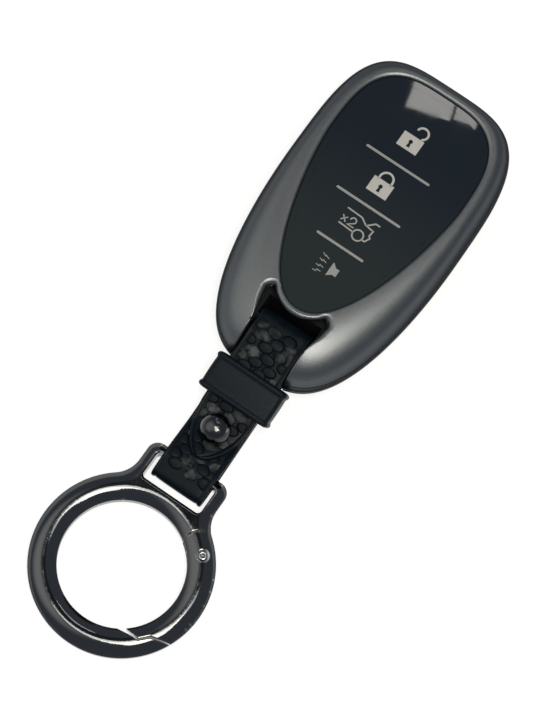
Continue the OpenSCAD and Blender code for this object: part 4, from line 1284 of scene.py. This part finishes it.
def direction(azimuth, elevation):
    """The way to an azimuth, counted from -Y towards +X, and an elevation."""
    a, e = math.radians(azimuth), math.radians(elevation)
    return Vector((math.sin(a) * math.cos(e), -math.cos(a) * math.cos(e), math.sin(e)))


def add_camera():
    azimuth, elevation, roll = 22.57, 74.41, math.radians(-12.09)
    distance, pixels_per_mm, picture_h, target = 520.3, 4.471, 720, Vector((0.716, -35.03, 5))
    back = direction(azimuth, elevation)
    right = Vector((math.cos(math.radians(azimuth)), math.sin(math.radians(azimuth)), 0))
    up = back.cross(right)
    across = right * math.cos(roll) - up * math.sin(roll)
    upward = right * math.sin(roll) + up * math.cos(roll)
    data = bpy.data.cameras.new("camera")
    data.sensor_fit, data.sensor_height = "VERTICAL", 24
    data.lens = pixels_per_mm * distance * data.sensor_height / picture_h
    data.clip_start, data.clip_end = 0.01, 10
    camera = link(bpy.data.objects.new("camera", data))
    turn = Matrix((across, upward, back)).transposed().to_4x4()
    camera.matrix_world = Matrix.Translation((target + back * distance) * MM) @ turn
    scene.camera = camera


def add_floor():
    """A plain pale floor, which looks lighter than it shines back on the part."""
    size, drop = 2500, 0.02
    corners = [(x * size, y * size, -drop) for x, y in ((-1, -1), (1, -1), (1, 1), (-1, 1))]
    floor = mesh_piece("floor", corners, [(0, 1, 2, 3)])
    material = bpy.data.materials.new("white_floor")
    material.use_nodes = True
    tree = material.node_tree
    tree.nodes.clear()
    ray = node(tree, "ShaderNodeLightPath").outputs
    seen = math_node(tree, "ADD", ray["Is Camera Ray"], ray["Is Glossy Ray"], clamp=True)
    plain = node(tree, "ShaderNodeBsdfDiffuse", {"Color": (0.93, 0.93, 0.93, 1)}).outputs[0]
    glow = node(tree, "ShaderNodeEmission", {"Color": (1, 1, 1, 1), "Strength": 1.0}).outputs[0]
    mix = node(tree, "ShaderNodeMixShader", {0: math_node(tree, "MULTIPLY", seen, 0.8), 1: plain, 2: glow})
    node(tree, "ShaderNodeOutputMaterial", {"Surface": mix.outputs[0]})
    floor.data.materials.append(material)


def area_lamp(name, place, size, power, colour, turn):
    """A rectangular soft light."""
    data = bpy.data.lights.new(name, "AREA")
    data.shape, data.energy, data.color = "RECTANGLE", power, colour
    data.size, data.size_y = size[0] * MM, size[1] * MM
    lamp = link(bpy.data.objects.new(name, data))
    lamp.location = place * MM
    lamp.rotation_euler = turn


def add_lights():
    """A strong key, an overhead lamp and thin strips for the ridges, and two panes that the panel mirrors."""
    aim, distance = Vector((0, -35, 8)), 700
    for name, azimuth, elevation, size, power, colour in (
            ("key", 52, 71.5, (220, 350), 4.2, (1.0, 0.94, 0.82)),
            ("overhead", 330, 85, (150, 150), 0.6, (1.0, 0.96, 0.88)),
            ("strip_right", 112, 79, (70, 260), 0.3, (1.0, 0.96, 0.9)),
            ("strip_back", 186, 52, (260, 70), 0.3, (1.0, 0.96, 0.9))):
        way = direction(azimuth, elevation)
        area_lamp(name, aim + way * distance, size, power, colour, way.to_track_quat("Z", "Y").to_euler())
    for name, place, size, power in (("left_pane", (-59.2, 232.2, 506), (20.8, 18), 0.0128),
                                     ("right_pane", (-42, 234.8, 506), (11.1, 12), 0.0043)):
        area_lamp(name, Vector(place), size, power, (1.0, 0.97, 0.92), (0, 0, math.radians(14)))


def add_world():
    """An even studio sky with the camera's dark shape and a warm side glow in it, over a white horizon."""
    world = bpy.data.worlds.new("studio")
    scene.world = world
    world.use_nodes = True
    tree = world.node_tree
    tree.nodes.clear()
    way = node(tree, "ShaderNodeTexCoord").outputs["Generated"]

    def patch(azimuth, elevation, *span):
        near = node(tree, "ShaderNodeVectorMath", {0: way, 1: direction(azimuth, elevation)},
                    operation="DOT_PRODUCT")
        return ramp(tree, near.outputs["Value"], *span, shape="SMOOTHSTEP")

    def light(colour, strength):
        return node(tree, "ShaderNodeBackground", {"Color": (*colour, 1), "Strength": strength}).outputs[0]

    even = light((0.84, 0.94, 1.05), patch(198, 70, 0.9, 0.985, 0.4, 0.14))
    side = light((1.0, 0.95, 0.85), patch(294, 47, 0.72, 0.98, 0.0, 1.35))
    sky = node(tree, "ShaderNodeAddShader", {0: even, 1: side}).outputs[0]
    below = ramp(tree, node(tree, "ShaderNodeSeparateXYZ", {"Vector": way}).outputs["Z"], 0.02, 0.0)
    mix = node(tree, "ShaderNodeMixShader", {0: below, 1: sky, 2: light((1, 1, 1), 1.0)})
    node(tree, "ShaderNodeOutputWorld", {"Surface": mix.outputs[0]})


front_shell()
back_shell()
seam_bead()
back_lining()
front_lining()
panel_rim()
for number in range(len(KEYS)):
    key_face(number)
add_signs()
add_strap()
add_stud()
add_keeper()
ring_body()
ring_gate()
gate_rivet()
for name, material in (("strap_bar", BLACK_NICKEL), ("stud_screw", BLACK_NICKEL),
                       ("gate_spring", SPRING_WIRE)):
    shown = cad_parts[name]
    shown.data.materials.clear()
    shown.data.materials.append(material)

add_floor()
add_world()
add_lights()
add_camera()
scene.view_settings.view_transform = "Standard"
